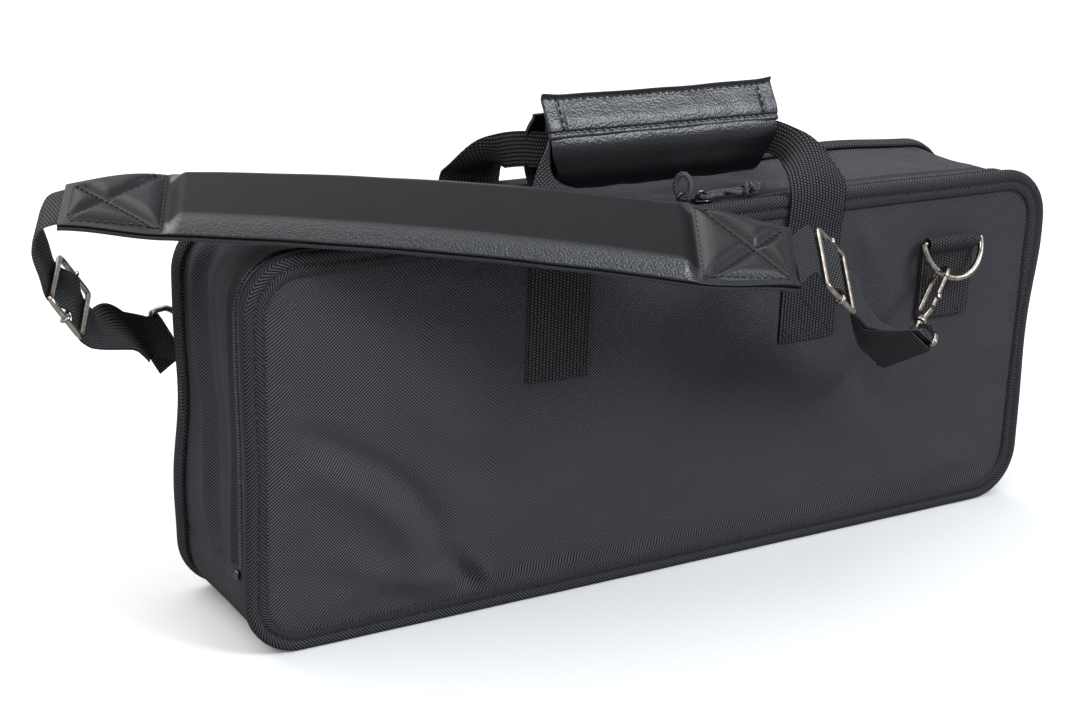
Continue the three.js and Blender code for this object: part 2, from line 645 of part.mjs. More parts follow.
// The pad's middle line and lie at a share of its length
function padFrame(share) {
  const weights = [(1 - share) * (1 - 2 * share), 4 * share * (1 - share), share * (2 * share - 1)];
  const slopes = [4 * share - 3, 4 - 8 * share, 4 * share - 1];
  const middleLine = [
    new THREE.Vector3(pad.leftX, pad.leftY, pad.leftZ),
    new THREE.Vector3(pad.middleX, pad.middleY, pad.middleZ),
    new THREE.Vector3(pad.rightX, pad.rightY, pad.rightZ),
  ];
  const mixed = (factors) => middleLine.reduce((sum, point, i) => sum.addScaledVector(point, factors[i]),
    new THREE.Vector3());
  const along = mixed(slopes).normalize();
  const level = along.clone().cross(Z).normalize();
  const up = level.clone().cross(along).normalize();
  const tilt = padTiltShares.reduce((sum, t, i) => sum + t * weights[i], 0);
  const across = level.clone().multiplyScalar(Math.cos(tilt)).addScaledVector(up, -Math.sin(tilt));
  return { origin: mixed(weights), along, across, normal: across.clone().cross(along).normalize() };
}

// The pad: an under skin, a plump foam core, and a cover that is low in the stitched end boxes
function makePad() {
  const [boxStart, boxEnd] = padBoxShares;
  const skin = [];
  const foam = [];
  const cover = [];
  for (const share of padStationShares) {
    const f = padFrame(share);
    const lie = { origin: f.origin, u: f.across, v: f.normal };
    const fullness = Math.min(share / boxStart, (1 - share) / (1 - boxEnd), 1);
    const w = (pad.endWidth + (pad.width - pad.endWidth) * fullness) / 2;
    const plump = share > boxStart && share < boxEnd;
    const height = (across) => (plump
      ? pad.endThick + (pad.foam - pad.endThick) * Math.min(1, (1 - Math.abs(across)) / padEdgeShare)
        + pad.crown * (1 - across * across)
      : pad.endThick);
    const under = (half, lift) => padProfileShares.map((across, i) => {
      const edge = i === 0 || i === padProfileShares.length - 1;
      return [across * half, edge ? lift : GAP + height(across) - pad.cover + GAP - lift];
    });
    const top = padProfileShares.map((across) => [across * w, GAP + height(across)]);
    skin.push({ ring: [[-w, -pad.base], [w, -pad.base], [w, 0], [-w, 0]], ...lie });
    cover.push({ ring: [[-w, GAP], ...under(w - pad.lip, GAP), [w, GAP], ...top.reverse()], ...lie });
    if (plump) foam.push({ ring: under(w - pad.lip - GAP, 2 * GAP), ...lie });
  }
  add('pad_under_skin', loft(skin), 'under');
  add('pad_cover', loft(cover), 'leather', 0.5);
  add('pad_foam', loft(foam), 'foam');
}

function squareTo(direction, across) {
  return direction.clone().addScaledVector(across, -direction.dot(across)).normalize();
}

// The webbing's way through an adjuster: under one side, over the bar, under the other
function weave(centre, along, lift) {
  const clear = adjuster.wire / 2 + RUN_GAP + WEBBING_THICK / 2;
  return weaveRunShares.map((run, i) => centre.clone().addScaledVector(along, run * adjuster.run)
    .addScaledVector(lift, weaveRiseShares[i] * clear));
}

// A half turn of webbing round a swivel eye's bar
function turnRound(bar, heading, across) {
  const round = eye.wire / 2 + RUN_GAP + WEBBING_THICK / 2;
  const side = across.clone().cross(heading).normalize();
  return Array.from({ length: TURN_STEPS + 1 }, (_, i) => {
    const angle = Math.PI / 2 - (i / TURN_STEPS) * Math.PI;
    return bar.clone().addScaledVector(side, Math.sin(angle) * round)
      .addScaledVector(heading, Math.cos(angle) * round);
  });
}

// Webbing from the pad's right end, through the adjuster, round the front swivel eye and back
function makeFrontWebbing(hold) {
  const end = padFrame(1);
  const centre = new THREE.Vector3(...frontRoute.adjuster);
  const start = end.origin.clone().addScaledVector(end.along, GAP * 2);
  const along = squareTo(centre.clone().sub(start), end.across);
  const lift = end.across.clone().cross(along).normalize();
  makeAdjuster('front', centre, along, end.across);
  const passes = weave(centre, along, lift);
  const lastPass = passes[passes.length - 1];
  const heading = squareTo(hold.bar.clone().sub(lastPass), hold.across);
  const eyeAcross = hold.across.clone().multiplyScalar(Math.sign(hold.across.dot(end.across)));
  const turn = turnRound(hold.bar, heading, eyeAcross);
  const under = lastPass.clone().addScaledVector(lift, -adjuster.wire * 2);
  const out = wayOutShares.map((share) => lastPass.clone().lerp(turn[0], share));
  const back = wayBackShares.map((share) => turn[turn.length - 1].clone().lerp(under, share));
  const twists = [0, ...passes.map(() => 0), ...wayOutShares, ...turn.map(() => 1),
    ...wayBackShares.map((share) => 1 - share)];
  const acrosses = twists.map((share) => end.across.clone().lerp(eyeAcross, share));
  add('front_webbing', ribbon([start, ...passes, ...out, ...turn, ...back], acrosses), 'webbing');
}

// Webbing from the pad's left end to the rear adjuster, and on from there to the rear swivel eye
function makeRearWebbing(hold) {
  const head = padFrame(0);
  const centre = new THREE.Vector3(...rearRoute.adjuster);
  const toEye = rearRoute.toEye.map((place) => new THREE.Vector3(...place));
  const start = head.origin.clone().addScaledVector(head.along, -GAP * 2);
  const along = squareTo(toEye[0].clone().sub(centre), head.across);
  const lift = head.across.clone().cross(along).normalize();
  makeAdjuster('rear', centre, along, head.across);
  const passes = weave(centre, along, lift);
  const leave = passes.pop();
  const fromPad = rearRoute.fromPad.map((place) => new THREE.Vector3(...place));
  const hang = [start, ...fromPad, ...passes.slice(1)];
  add('pad_end_webbing', ribbon(hang, hang.map(() => head.across)), 'webbing');

  const eyeAcross = hold.across.clone().multiplyScalar(-Math.sign(hold.across.z));
  const heading = squareTo(hold.bar.clone().sub(toEye[toEye.length - 1]), eyeAcross);
  const turn = turnRound(hold.bar, heading, eyeAcross);
  const path = new THREE.CatmullRomCurve3([leave, ...toEye, turn[0]], false, 'centripetal');
  const steps = 12;
  const tail = turn[turn.length - 1].clone().addScaledVector(heading, -WEBBING_WIDTH * tailShare);
  const points = [...path.getPoints(steps).slice(0, steps), ...turn, tail];
  const acrosses = points.map((_, i) => head.across.clone()
    .lerp(eyeAcross, THREE.MathUtils.smoothstep(i / steps, 0, 0.9)));
  add('rear_webbing', ribbon(points, acrosses), 'webbing');
}

makeCase();
makeLid();
makeSliders();
makeHandles();
makeGrip();
makePad();
makeFrontWebbing(makeHook('front', makeRing(-1, 'front', FRONT_PULL),
  new THREE.Vector3(...frontRoute.eye), FRONT_EYE_TURN));
makeRearWebbing(makeHook('rear', makeRing(1, 'rear', REAR_PULL),
  new THREE.Vector3(...rearRoute.eye), REAR_EYE_TURN));

export default bag;
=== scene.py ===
"""Looks of the keyboard gig bag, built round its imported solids. Lengths are in millimetres
until a piece is made, and the bag stands as its solids do: +X along it, the front towards -Y."""
import math

import bpy
import numpy as np
from mathutils import Matrix, Vector, noise


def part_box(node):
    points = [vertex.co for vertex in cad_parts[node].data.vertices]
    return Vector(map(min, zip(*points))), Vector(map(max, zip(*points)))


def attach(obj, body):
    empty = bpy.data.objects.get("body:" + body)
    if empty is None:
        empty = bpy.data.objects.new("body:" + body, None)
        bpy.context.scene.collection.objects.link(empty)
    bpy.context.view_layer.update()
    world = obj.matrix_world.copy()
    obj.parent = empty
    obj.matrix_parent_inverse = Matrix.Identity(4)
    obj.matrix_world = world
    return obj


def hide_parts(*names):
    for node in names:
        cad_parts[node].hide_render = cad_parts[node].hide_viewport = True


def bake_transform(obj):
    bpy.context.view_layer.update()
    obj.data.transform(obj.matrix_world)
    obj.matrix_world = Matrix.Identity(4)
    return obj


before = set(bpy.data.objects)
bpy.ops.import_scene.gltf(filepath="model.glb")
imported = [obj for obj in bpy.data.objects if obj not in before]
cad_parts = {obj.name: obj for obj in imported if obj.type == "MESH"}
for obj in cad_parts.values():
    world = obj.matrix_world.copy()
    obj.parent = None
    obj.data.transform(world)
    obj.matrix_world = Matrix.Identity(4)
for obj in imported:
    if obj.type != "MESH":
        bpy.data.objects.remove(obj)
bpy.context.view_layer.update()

MM = 0.001
LENGTH, HEIGHT, DEPTH, CORNER = 540.0, 218.0, 100.0, 32.0
FRONT, BACK = -DEPTH / 2, DEPTH / 2
WEBBING = 40.0
UP = np.array([0.0, 0.0, 1.0])


# small sums

def vec(*numbers):
    return np.array(numbers, float)


def unit(v):
    return v / np.linalg.norm(v)


def smooth(x, low, high):
    t = np.clip((np.asarray(x, float) - low) / (high - low), 0, 1)
    return t * t * (3 - 2 * t)


def hump(x, middle, width):
    return np.exp(-((np.asarray(x, float) - middle) / width) ** 2)


def ripple(x, y, z, size, seed=0.0):
    """Slow noise between about -1 and 1 at a point in millimetres."""
    return noise.noise(Vector((x / size + seed, y / size - seed, z / size + 2 * seed)))


def through(points, count, closed=False):
    """Points at even steps on a smooth line through the given ones."""
    p = np.array(points, float)
    n = len(p)
    fine = []
    last = n if closed else n - 1
    for i in range(last):
        if closed:
            a, b, c, d = p[(i - 1) % n], p[i], p[(i + 1) % n], p[(i + 2) % n]
        else:
            a, b, c, d = p[max(i - 1, 0)], p[i], p[i + 1], p[min(i + 2, n - 1)]
        t = np.linspace(0, 1, 24, endpoint=False)[:, None]
        fine.append(0.5 * (2 * b + (c - a) * t + (2 * a - 5 * b + 4 * c - d) * t ** 2
                           + (3 * b - a - 3 * c + d) * t ** 3))
    fine.append(p[:1] if closed else p[-1:])
    return evenly(np.vstack(fine), count, closed)


def run_of(line):
    """How far along a line each of its points lies."""
    return np.concatenate([[0], np.cumsum(np.linalg.norm(np.diff(line, axis=0), axis=1))])


def read_off(at, run, values):
    """The rows of values at some distances, from rows that lie at other distances."""
    return np.stack([np.interp(at, run, values[:, k]) for k in range(values.shape[1])], axis=1)


def evenly(line, count, closed=False):
    """Points at even steps along a line. The last point of a closed line is its first again."""
    run = run_of(line)
    at = np.linspace(0, run[-1], count + 1 if closed else count)
    return read_off(at[:-1] if closed else at, run, line)


def headings(line, closed=False):
    if closed:
        d = np.roll(line, -1, 0) - np.roll(line, 1, 0)
    else:
        d = np.gradient(line, axis=0)
    return d / np.linalg.norm(d, axis=1)[:, None]


# making pieces

def finish_piece(piece, finish, body, nodes=(), angle=40):
    """Gives a piece its finish, shading and body, and hides the solids that it stands for."""
    piece.data.materials.clear()
    piece.data.materials.append(finish)
    bpy.ops.object.select_all(action="DESELECT")
    piece.select_set(True)
    bpy.context.view_layer.objects.active = piece
    bpy.ops.object.shade_smooth_by_angle(angle=math.radians(angle))
    if isinstance(body, str):
        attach(piece, body)
    if nodes:
        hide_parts(*nodes)
    return piece


def mesh_piece(name, points, faces, spots=None):
    """A mesh object from points in millimetres and faces, with a map place for each face corner."""
    data = bpy.data.meshes.new(name)
    data.from_pydata((np.asarray(points) * MM).tolist(), [], faces)
    if spots is not None:
        layer = data.uv_layers.new(name="UVMap")
        layer.data.foreach_set("uv", (np.asarray(spots) * MM).astype(np.float32).ravel())
    data.update()
    piece = bpy.data.objects.new(name, data)
    bpy.context.scene.collection.objects.link(piece)
    return piece


def prism_faces(base, rings, sides):
    """The faces of a closed prism whose rings of points start at some number."""
    faces = []
    for i in range(rings - 1):
        for j in range(sides):
            k = (j + 1) % sides
            low, high = base + i * sides, base + (i + 1) * sides
            faces.append([low + j, low + k, high + k, high + j])
    faces.append([base + j for j in reversed(range(sides))])
    faces.append([base + (rings - 1) * sides + j for j in range(sides)])
    return faces


def outward(points, faces):
    """The faces, turned round together if the closed shape they make is inside out."""
    p = np.asarray(points)
    volume = 0.0
    for f in faces:
        a = p[f[0]]
        for i in range(1, len(f) - 1):
            volume += a @ np.cross(p[f[i]], p[f[i + 1]])
    return faces if volume > 0 else [list(reversed(f)) for f in faces]


def closed_piece(name, points, faces, corners):
    """A closed mesh, turned right side out, with its map places given face by face."""
    turned = outward(points, faces)
    if turned is not faces:
        corners = [list(reversed(c)) for c in corners]
    return mesh_piece(name, points, turned, [spot for c in corners for spot in c])


def skin(name, rings, loop=False):
    """A closed skin through rings of points. Its map runs along it and round it."""
    rings = np.asarray(rings, float)
    n, m, _ = rings.shape
    middles = rings.mean(axis=1)
    if loop:
        middles = np.vstack([middles, middles[:1]])
    along = run_of(middles)
    around = np.concatenate([rings, rings[:, :1]], axis=1)
    run = np.cumsum(np.linalg.norm(np.diff(around, axis=1), axis=2), axis=1)
    run = np.concatenate([np.zeros((n, 1)), run], axis=1)
    faces, corners = [], []
    for i in range(n if loop else n - 1):
        k = (i + 1) % n
        for j in range(m):
            q = (j + 1) % m
            faces.append([i * m + j, i * m + q, k * m + q, k * m + j])
            corners.append([(along[i], run[i, j]), (along[i], run[i, j + 1]),
                            (along[i + 1], run[k, j + 1]), (along[i + 1], run[k, j])])
    if not loop:
        faces.append(list(range(m)))
        corners.append([(along[0], r) for r in run[0, :m]])
        faces.append([(n - 1) * m + j for j in reversed(range(m))])
        corners.append([(along[-1], run[-1, j]) for j in reversed(range(m))])
    return closed_piece(name, rings.reshape(-1, 3), faces, corners)


def sheet_piece(name, top, thick, normals=None):
    """A closed sheet from a grid of points, thickened away from the side that its normals face."""
    top = np.asarray(top, float)
    n, m, _ = top.shape
    if normals is None:
        du = np.gradient(top, axis=0)
        dv = np.gradient(top, axis=1)
        normals = np.cross(du, dv)
        normals /= np.linalg.norm(normals, axis=2)[:, :, None]
    low = top - normals * (thick if np.isscalar(thick) else np.asarray(thick)[:, :, None])
    points = np.vstack([top.reshape(-1, 3), low.reshape(-1, 3)])
    shift = n * m
    faces = []
    for i in range(n - 1):
        for j in range(m - 1):
            a, b, c, d = i * m + j, i * m + j + 1, (i + 1) * m + j + 1, (i + 1) * m + j
            faces.append([a, b, c, d])
            faces.append([shift + d, shift + c, shift + b, shift + a])
    rim = [j for j in range(m)] + [i * m + m - 1 for i in range(1, n)]
    rim += [(n - 1) * m + j for j in range(m - 2, -1, -1)] + [i * m for i in range(n - 2, 0, -1)]
    for a, b in zip(rim, rim[1:] + rim[:1]):
        faces.append([b, a, shift + a, shift + b])
    u = np.concatenate([np.zeros((1, m)), np.cumsum(np.linalg.norm(np.diff(top, axis=0), axis=2), 0)])
    v = np.concatenate([np.zeros((n, 1)), np.cumsum(np.linalg.norm(np.diff(top, axis=1), axis=2), 1)], 1)
    flat = np.stack([u, v], axis=2).reshape(-1, 2).tolist()
    return closed_piece(name, points, faces, [[flat[i % shift] for i in f] for f in faces])


def carried(line, closed):
    """Two ways across a line at each of its points, carried along it without twist."""
    ways = headings(line, closed)
    side = np.cross(ways[0], UP if abs(ways[0] @ UP) < 0.95 else vec(1, 0, 0))
    pairs = []
    for way in ways:
        side = unit(side - way * (side @ way))
        pairs.append((side, np.cross(way, side)))
    return pairs


def tube_rings(line, radii, sides=8, closed=False):
    """Round rings along a line, turned with it and without twist."""
    radii = np.broadcast_to(radii, (len(line),))
    angles = np.linspace(0, 2 * math.pi, sides, endpoint=False)
    rings = []
    for p, (side, other), r in zip(line, carried(line, closed), radii):
        rings.append(p + r * (np.cos(angles)[:, None] * side + np.sin(angles)[:, None] * other))
    return np.array(rings)


def marked(piece, label, values):
    """A piece with a number on each of its points, which its finish can read."""
    layer = piece.data.attributes.new(label, "FLOAT", "POINT")
    layer.data.foreach_set("value", np.asarray(values, np.float32).ravel())
    return piece


def joined(name, pieces):
    """One piece from several, which have no parents yet."""
    bpy.ops.object.select_all(action="DESELECT")
    for piece in pieces:
        piece.select_set(True)
    bpy.context.view_layer.objects.active = pieces[0]
    bpy.ops.object.join()
    pieces[0].name = name
    pieces[0].data.name = name
    return pieces[0]


def smoothed(piece, levels=1):
    """A piece with subdivision applied to it."""
    bpy.ops.object.select_all(action="DESELECT")
    piece.select_set(True)
    bpy.context.view_layer.objects.active = piece
    rounding = piece.modifiers.new("rounding", "SUBSURF")
    rounding.levels = rounding.render_levels = levels
    rounding.uv_smooth = "PRESERVE_BOUNDARIES"
    bpy.ops.object.modifier_apply(modifier=rounding.name)
    return piece


def stitches(name, lines, finish, body, length=2.6, pitch=3.6, wide=0.42, sink=0.15):
    """Rows of sewn thread: each line is its points and the way that the cloth faces there."""
    share = [-0.5, -0.34, 0, 0.34, 0.5]
    size = [0.25, 0.85, 1, 0.85, 0.25]
    angles = np.linspace(0, 2 * math.pi, 6, endpoint=False)
    points, faces = [], []
    for line, facing in lines:
        line = np.asarray(line, float)
        total = run_of(line)
        count = max(int(total[-1] / pitch), 1)
        middles = evenly(line, 2 * count + 1)[1::2]
        at = (np.arange(count) + 0.5) / count * total[-1]
        facing = np.broadcast_to(np.asarray(facing, float), line.shape)
        faced = read_off(at, total, facing)
        ahead = read_off(np.minimum(at + 0.4, total[-1]), total, line)
        behind = read_off(np.maximum(at - 0.4, 0), total, line)
        for p, n, d in zip(middles, faced, ahead - behind):
            d = unit(d)
            n = unit(n - d * (n @ d))
            s = np.cross(d, n)
            base = len(points)
            for a, r in zip(share, size):
                arch = 0.18 * (1 - (2 * a) ** 2)
                middle = p + d * a * length + n * (arch - sink)
                for w in angles:
                    points.append(middle + s * math.cos(w) * wide * r + n * math.sin(w) * wide * 0.8 * r)
            faces += prism_faces(base, len(share), len(angles))
    piece = mesh_piece(name, np.array(points), outward(points, faces))
    return finish_piece(piece, finish, body)


# finishes

def sum_of(tree, operation, *values):
    """A Math node on sockets or numbers, and its result."""
    node = tree.nodes.new("ShaderNodeMath")
    node.operation = operation
    for socket, value in zip(node.inputs, values):
        if isinstance(value, (int, float)):
            socket.default_value = value
        else:
            tree.links.new(value, socket)
    return node.outputs[0]


def new_group(name, sizes, outputs=("Height", "Warp")):
    """A node group that takes a place and some sizes, and gives out numbers."""
    tree = bpy.data.node_groups.new(name, "ShaderNodeTree")
    tree.interface.new_socket(name="Place", in_out="INPUT", socket_type="NodeSocketVector")
    for way, labels in (("INPUT", sizes), ("OUTPUT", outputs)):
        for label in labels:
            tree.interface.new_socket(name=label, in_out=way, socket_type="NodeSocketFloat")
    return tree, tree.nodes.new("NodeGroupInput").outputs, tree.nodes.new("NodeGroupOutput").inputs


def split_place(tree, given):
    """A place on the map, along and across."""
    split = tree.nodes.new("ShaderNodeSeparateXYZ")
    tree.links.new(given["Place"], split.inputs[0])
    return split.outputs[0], split.outputs[1]


def slow_noise(tree, given, detail, rate):
    """Noise over a place, whose patches are the given size divided by a rate."""
    cloud = tree.nodes.new("ShaderNodeTexNoise")
    cloud.inputs["Detail"].default_value = detail
    tree.links.new(given["Place"], cloud.inputs["Vector"])
    tree.links.new(sum_of(tree, "DIVIDE", rate, given["Size"]), cloud.inputs["Scale"])
    return cloud.outputs["Fac"]


def arch_over(tree, share):
    """1 in the middle of a thread and 0 at its edges."""
    return sum_of(tree, "SINE", sum_of(tree, "MULTIPLY", share, math.pi))


def spread_out(tree, value, low, high):
    """A value spread from a narrower range over 0 to 1."""
    spread = tree.nodes.new("ShaderNodeMapRange")
    spread.inputs["From Min"].default_value, spread.inputs["From Max"].default_value = low, high
    tree.links.new(value, spread.inputs["Value"])
    return spread.outputs["Result"]


def make_weave_group():
    """Cloth of paired threads, which shows as slanted rows of small raised loops."""
    tree, given, out = new_group("woven threads", ["Pitch"])
    u, v = split_place(tree, given)
    row = sum_of(tree, "DIVIDE", sum_of(tree, "SUBTRACT", u, v), given["Pitch"])
    loop = sum_of(tree, "DIVIDE", sum_of(tree, "ADD", u, v), given["Pitch"])
    rows = arch_over(tree, sum_of(tree, "FRACT", row))
    loops = arch_over(tree, sum_of(tree, "FRACT", loop))
    height = sum_of(tree, "MULTIPLY", rows, sum_of(tree, "MULTIPLY_ADD", loops, 0.65, 0.35))
    height = spread_out(tree, height, 0.22, 0.68)
    tree.links.new(height, out["Height"])
    # Where the threads stand highest: the finishes paint a highlight there
    tree.links.new(sum_of(tree, "GREATER_THAN", height, 0.5), out["Warp"])
    return tree


def make_herringbone_group():
    """Ribs that slant one way and then the other across a tape's bands."""
    tree, given, out = new_group("herringbone tape", ["Pitch", "Band"])
    u, v = split_place(tree, given)
    fold = sum_of(tree, "PINGPONG", v, given["Band"])
    slant = sum_of(tree, "DIVIDE", sum_of(tree, "ADD", u, fold), given["Pitch"])
    rib = arch_over(tree, sum_of(tree, "FRACT", slant))
    cross = sum_of(tree, "FRACT", sum_of(tree, "DIVIDE", sum_of(tree, "SUBTRACT", u, fold),
                                         sum_of(tree, "MULTIPLY", given["Pitch"], 0.7)))
    thread = sum_of(tree, "MULTIPLY_ADD", arch_over(tree, cross), 0.35, 0.65)
    height = spread_out(tree, sum_of(tree, "MULTIPLY", rib, thread), 0.25, 0.8)
    tree.links.new(height, out["Height"])
    # Where the ribs stand highest: the finishes paint a highlight there
    tree.links.new(sum_of(tree, "GREATER_THAN", rib, 0.55), out["Warp"])
    return tree


def make_webbing_group():
    """Rows of flat threads, each row set half a thread on from the last, as in bag webbing."""
    tree, given, out = new_group("ribbed webbing", ["Pitch"])
    u, v = split_place(tree, given)
    row = sum_of(tree, "DIVIDE", v, given["Pitch"])
    shift = sum_of(tree, "MULTIPLY", sum_of(tree, "FLOOR", row), 0.5)
    run = sum_of(tree, "DIVIDE", u, sum_of(tree, "MULTIPLY", given["Pitch"], 0.72))
    thread = sum_of(tree, "ADD", run, shift)
    across = arch_over(tree, sum_of(tree, "FRACT", row))
    along = arch_over(tree, sum_of(tree, "FRACT", thread))
    height = spread_out(tree, sum_of(tree, "MULTIPLY", across, along), 0.15, 0.6)
    tree.links.new(height, out["Height"])
    # Where the threads stand highest: the finishes paint a highlight there
    tree.links.new(sum_of(tree, "GREATER_THAN", height, 0.5), out["Warp"])
    return tree


def make_pebble_group():
    """Small rounded pebbles with creases between them, as on leatherette."""
    tree, given, out = new_group("pebbled grain", ["Size"])
    cell = tree.nodes.new("ShaderNodeTexVoronoi")
    cell.feature = "SMOOTH_F1"
    cell.inputs["Smoothness"].default_value = 0.35
    tree.links.new(given["Place"], cell.inputs["Vector"])
    tree.links.new(sum_of(tree, "DIVIDE", 1.0, given["Size"]), cell.inputs["Scale"])
    crease = slow_noise(tree, given, 4.0, 0.35)
    dome = sum_of(tree, "SUBTRACT", 1.0, cell.outputs["Distance"])
    tree.links.new(sum_of(tree, "MULTIPLY_ADD", crease, 0.8, dome), out["Height"])
    # The tops of the pebbles: the finishes paint a highlight there
    tree.links.new(sum_of(tree, "GREATER_THAN", dome, 0.6), out["Warp"])
    return tree


def make_wear_group():
    """Slow unevenness of dye and handling, and fine specks of dust and lint."""
    tree, given, out = new_group("uneven dye and dust", ["Size"], ("Dye", "Dust"))
    tree.links.new(slow_noise(tree, given, 3.0, 1.0), out["Dye"])
    speck = slow_noise(tree, given, 2.0, 30.0)
    tree.links.new(sum_of(tree, "SMOOTH_MAX", sum_of(tree, "SUBTRACT", speck, 0.66), 0.0, 0.02), out["Dust"])
    return tree


weave_group = make_weave_group()
herringbone_group = make_herringbone_group()
webbing_group = make_webbing_group()
pebble_group = make_pebble_group()
wear_group = make_wear_group()


def shade(red, green, blue):
    """A colour as a screen shows it, 0 to 255, in the renderer's own light units."""
    return tuple(((c / 255 + 0.055) / 1.055) ** 2.4 if c > 10 else c / 255 / 12.92
                 for c in (red, green, blue)) + (1.0,)


def make_finish(name, low, high, group, sizes, depth, rough, rough_spread=0.1, dye_size=0.05, dye=0.25,
                dust=0.0, on_map=True, metallic=0.0, sheen=0.0, specular=0.5, painted_highlight=0.25, polish=None):
    """A finish whose pattern sets its colour between two shades, its roughness and its relief. Its colour is
    painted shade in the pattern's hollows and a painted highlight on the pattern's raised tops, round the
    material's own tone.
    Where a piece is marked as polished, its roughness falls and its relief and coat grow by
    the three numbers."""
    finish = bpy.data.materials.new(name)
    finish.use_nodes = True
    tree = finish.node_tree
    surface = tree.nodes["Principled BSDF"]
    place = tree.nodes.new("ShaderNodeTexCoord")
    spot = place.outputs["Object"]
    pattern = tree.nodes.new("ShaderNodeGroup")
    pattern.node_tree = group
    tree.links.new(place.outputs["UV"] if on_map else spot, pattern.inputs["Place"])
    for label, size in sizes.items():
        pattern.inputs[label].default_value = size
    wear = tree.nodes.new("ShaderNodeGroup")
    wear.node_tree = wear_group
    wear.inputs["Size"].default_value = dye_size
    tree.links.new(spot, wear.inputs["Place"])

    # Colour: the pattern's height paints shade into its hollows and a highlight onto its raised tops, a further
    # step of painted highlight where it stands highest, and the dye's own uneven tone
    share = sum_of(tree, "MULTIPLY_ADD", wear.outputs["Dye"], dye * 2, sum_of(tree, "MULTIPLY_ADD",
                   pattern.outputs["Height"], 0.7, sum_of(tree, "MULTIPLY_ADD",
                   pattern.outputs["Warp"], painted_highlight, -dye)))
    painted_shade_mix = tree.nodes.new("ShaderNodeMix")
    painted_shade_mix.data_type = "RGBA"
    painted_shade_mix.inputs["A"].default_value = low
    painted_shade_mix.inputs["B"].default_value = high
    tree.links.new(sum_of(tree, "ADD", share, sum_of(tree, "MULTIPLY", wear.outputs["Dust"], dust * 10)),
                   painted_shade_mix.inputs["Factor"])
    tree.links.new(painted_shade_mix.outputs["Result"], surface.inputs["Base Color"])
    roughness = sum_of(tree, "MULTIPLY_ADD", wear.outputs["Dye"], rough_spread,
                       sum_of(tree, "MULTIPLY_ADD", pattern.outputs["Height"], -rough_spread, rough))
    bump = tree.nodes.new("ShaderNodeBump")
    bump.inputs["Strength"].default_value = 1.0
    bump.inputs["Distance"].default_value = depth
    if polish:
        mark = tree.nodes.new("ShaderNodeAttribute")
        mark.attribute_name = "polish"
        roughness = sum_of(tree, "MULTIPLY_ADD", mark.outputs["Fac"], -polish[0], roughness)
        relief = sum_of(tree, "MULTIPLY_ADD", mark.outputs["Fac"], polish[1], depth)
        tree.links.new(relief, bump.inputs["Distance"])
        coat = sum_of(tree, "MULTIPLY", mark.outputs["Fac"], polish[2])
        tree.links.new(coat, surface.inputs["Coat Weight"])
        tree.links.new(bump.outputs["Normal"], surface.inputs["Coat Normal"])
        surface.inputs["Coat Roughness"].default_value = 0.3
    tree.links.new(roughness, surface.inputs["Roughness"])
    tree.links.new(pattern.outputs["Height"], bump.inputs["Height"])
    tree.links.new(bump.outputs["Normal"], surface.inputs["Normal"])
    surface.inputs["Metallic"].default_value = metallic
    surface.inputs["Sheen Weight"].default_value = sheen
    surface.inputs["Specular IOR Level"].default_value = specular
    return finish


# Each finish's darker colour is the painted shade in its pattern's hollows, and its lighter colour the painted
# highlight on the pattern's tops
outer_cloth = make_finish("outer cloth", shade(3, 3, 4), shade(104, 101, 107), weave_group,
                          {"Pitch": 0.0019}, 0.00035, 0.78, dye_size=0.09, dye=0.08, dust=0.04,
                          specular=0.1, painted_highlight=0.3)
lining_cloth = make_finish("lining cloth", shade(20, 20, 23), shade(62, 62, 66), weave_group,
                           {"Pitch": 0.0014}, 0.00008, 0.5, dye_size=0.06, dye=0.1, specular=0.45)
binding_tape = make_finish("binding tape", shade(2, 2, 3), shade(82, 81, 85), herringbone_group,
                           {"Pitch": 0.0021, "Band": 0.0069}, 0.0004, 0.72, dye=0.08, dust=0.05, specular=0.14)
zip_tape = make_finish("zip tape", shade(8, 8, 9), shade(52, 52, 56), herringbone_group,
                       {"Pitch": 0.0014, "Band": 0.0028}, 0.00014, 0.75, dye=0.08, specular=0.25)
webbing_cloth = make_finish("webbing", shade(2, 2, 3), shade(86, 86, 88), webbing_group,
                            {"Pitch": 0.0022}, 0.0005, 0.68, dye_size=0.04, dye=0.1, dust=0.05,
                            specular=0.14)
grip_leather = make_finish("grip leatherette", shade(5, 5, 7), shade(13, 13, 17), pebble_group,
                           {"Size": 0.0012}, 0.00012, 0.46, rough_spread=0.04, dye=0.1, on_map=False,
                           specular=0.35, polish=(0.06, 0.00005, 0.62))
pad_leather = make_finish("pad leatherette", shade(11, 11, 12), shade(19, 19, 21), pebble_group,
                          {"Size": 0.0011}, 0.00005, 0.62, rough_spread=0.05, dye=0.06, on_map=False,
                          specular=0.18, polish=(0.12, 0.00014, 0.95))
under_cloth = make_finish("under skin", shade(16, 16, 18), shade(84, 84, 88), weave_group,
                          {"Pitch": 0.0018}, 0.00012, 0.7, dye=0.1, specular=0.3)
coil_nylon = make_finish("coil nylon", shade(26, 27, 30), shade(84, 86, 92), pebble_group,
                         {"Size": 0.002}, 0.00003, 0.3, dye=0.15, on_map=False, specular=0.7)
thread = make_finish("sewing thread", shade(30, 31, 35), shade(104, 106, 114), pebble_group,
                     {"Size": 0.0006}, 0.00005, 0.45, dye=0.1, on_map=False)
dark_thread = make_finish("dark sewing thread", shade(8, 8, 9), shade(40, 40, 43), pebble_group,
                          {"Size": 0.0006}, 0.00005, 0.5, dye=0.1, on_map=False, specular=0.4)
cord_braid = make_finish("braided cord", shade(6, 6, 7), shade(120, 120, 126), herringbone_group,
                         {"Pitch": 0.0012, "Band": 0.0012}, 0.00025, 0.6, dye=0.1, specular=0.4)
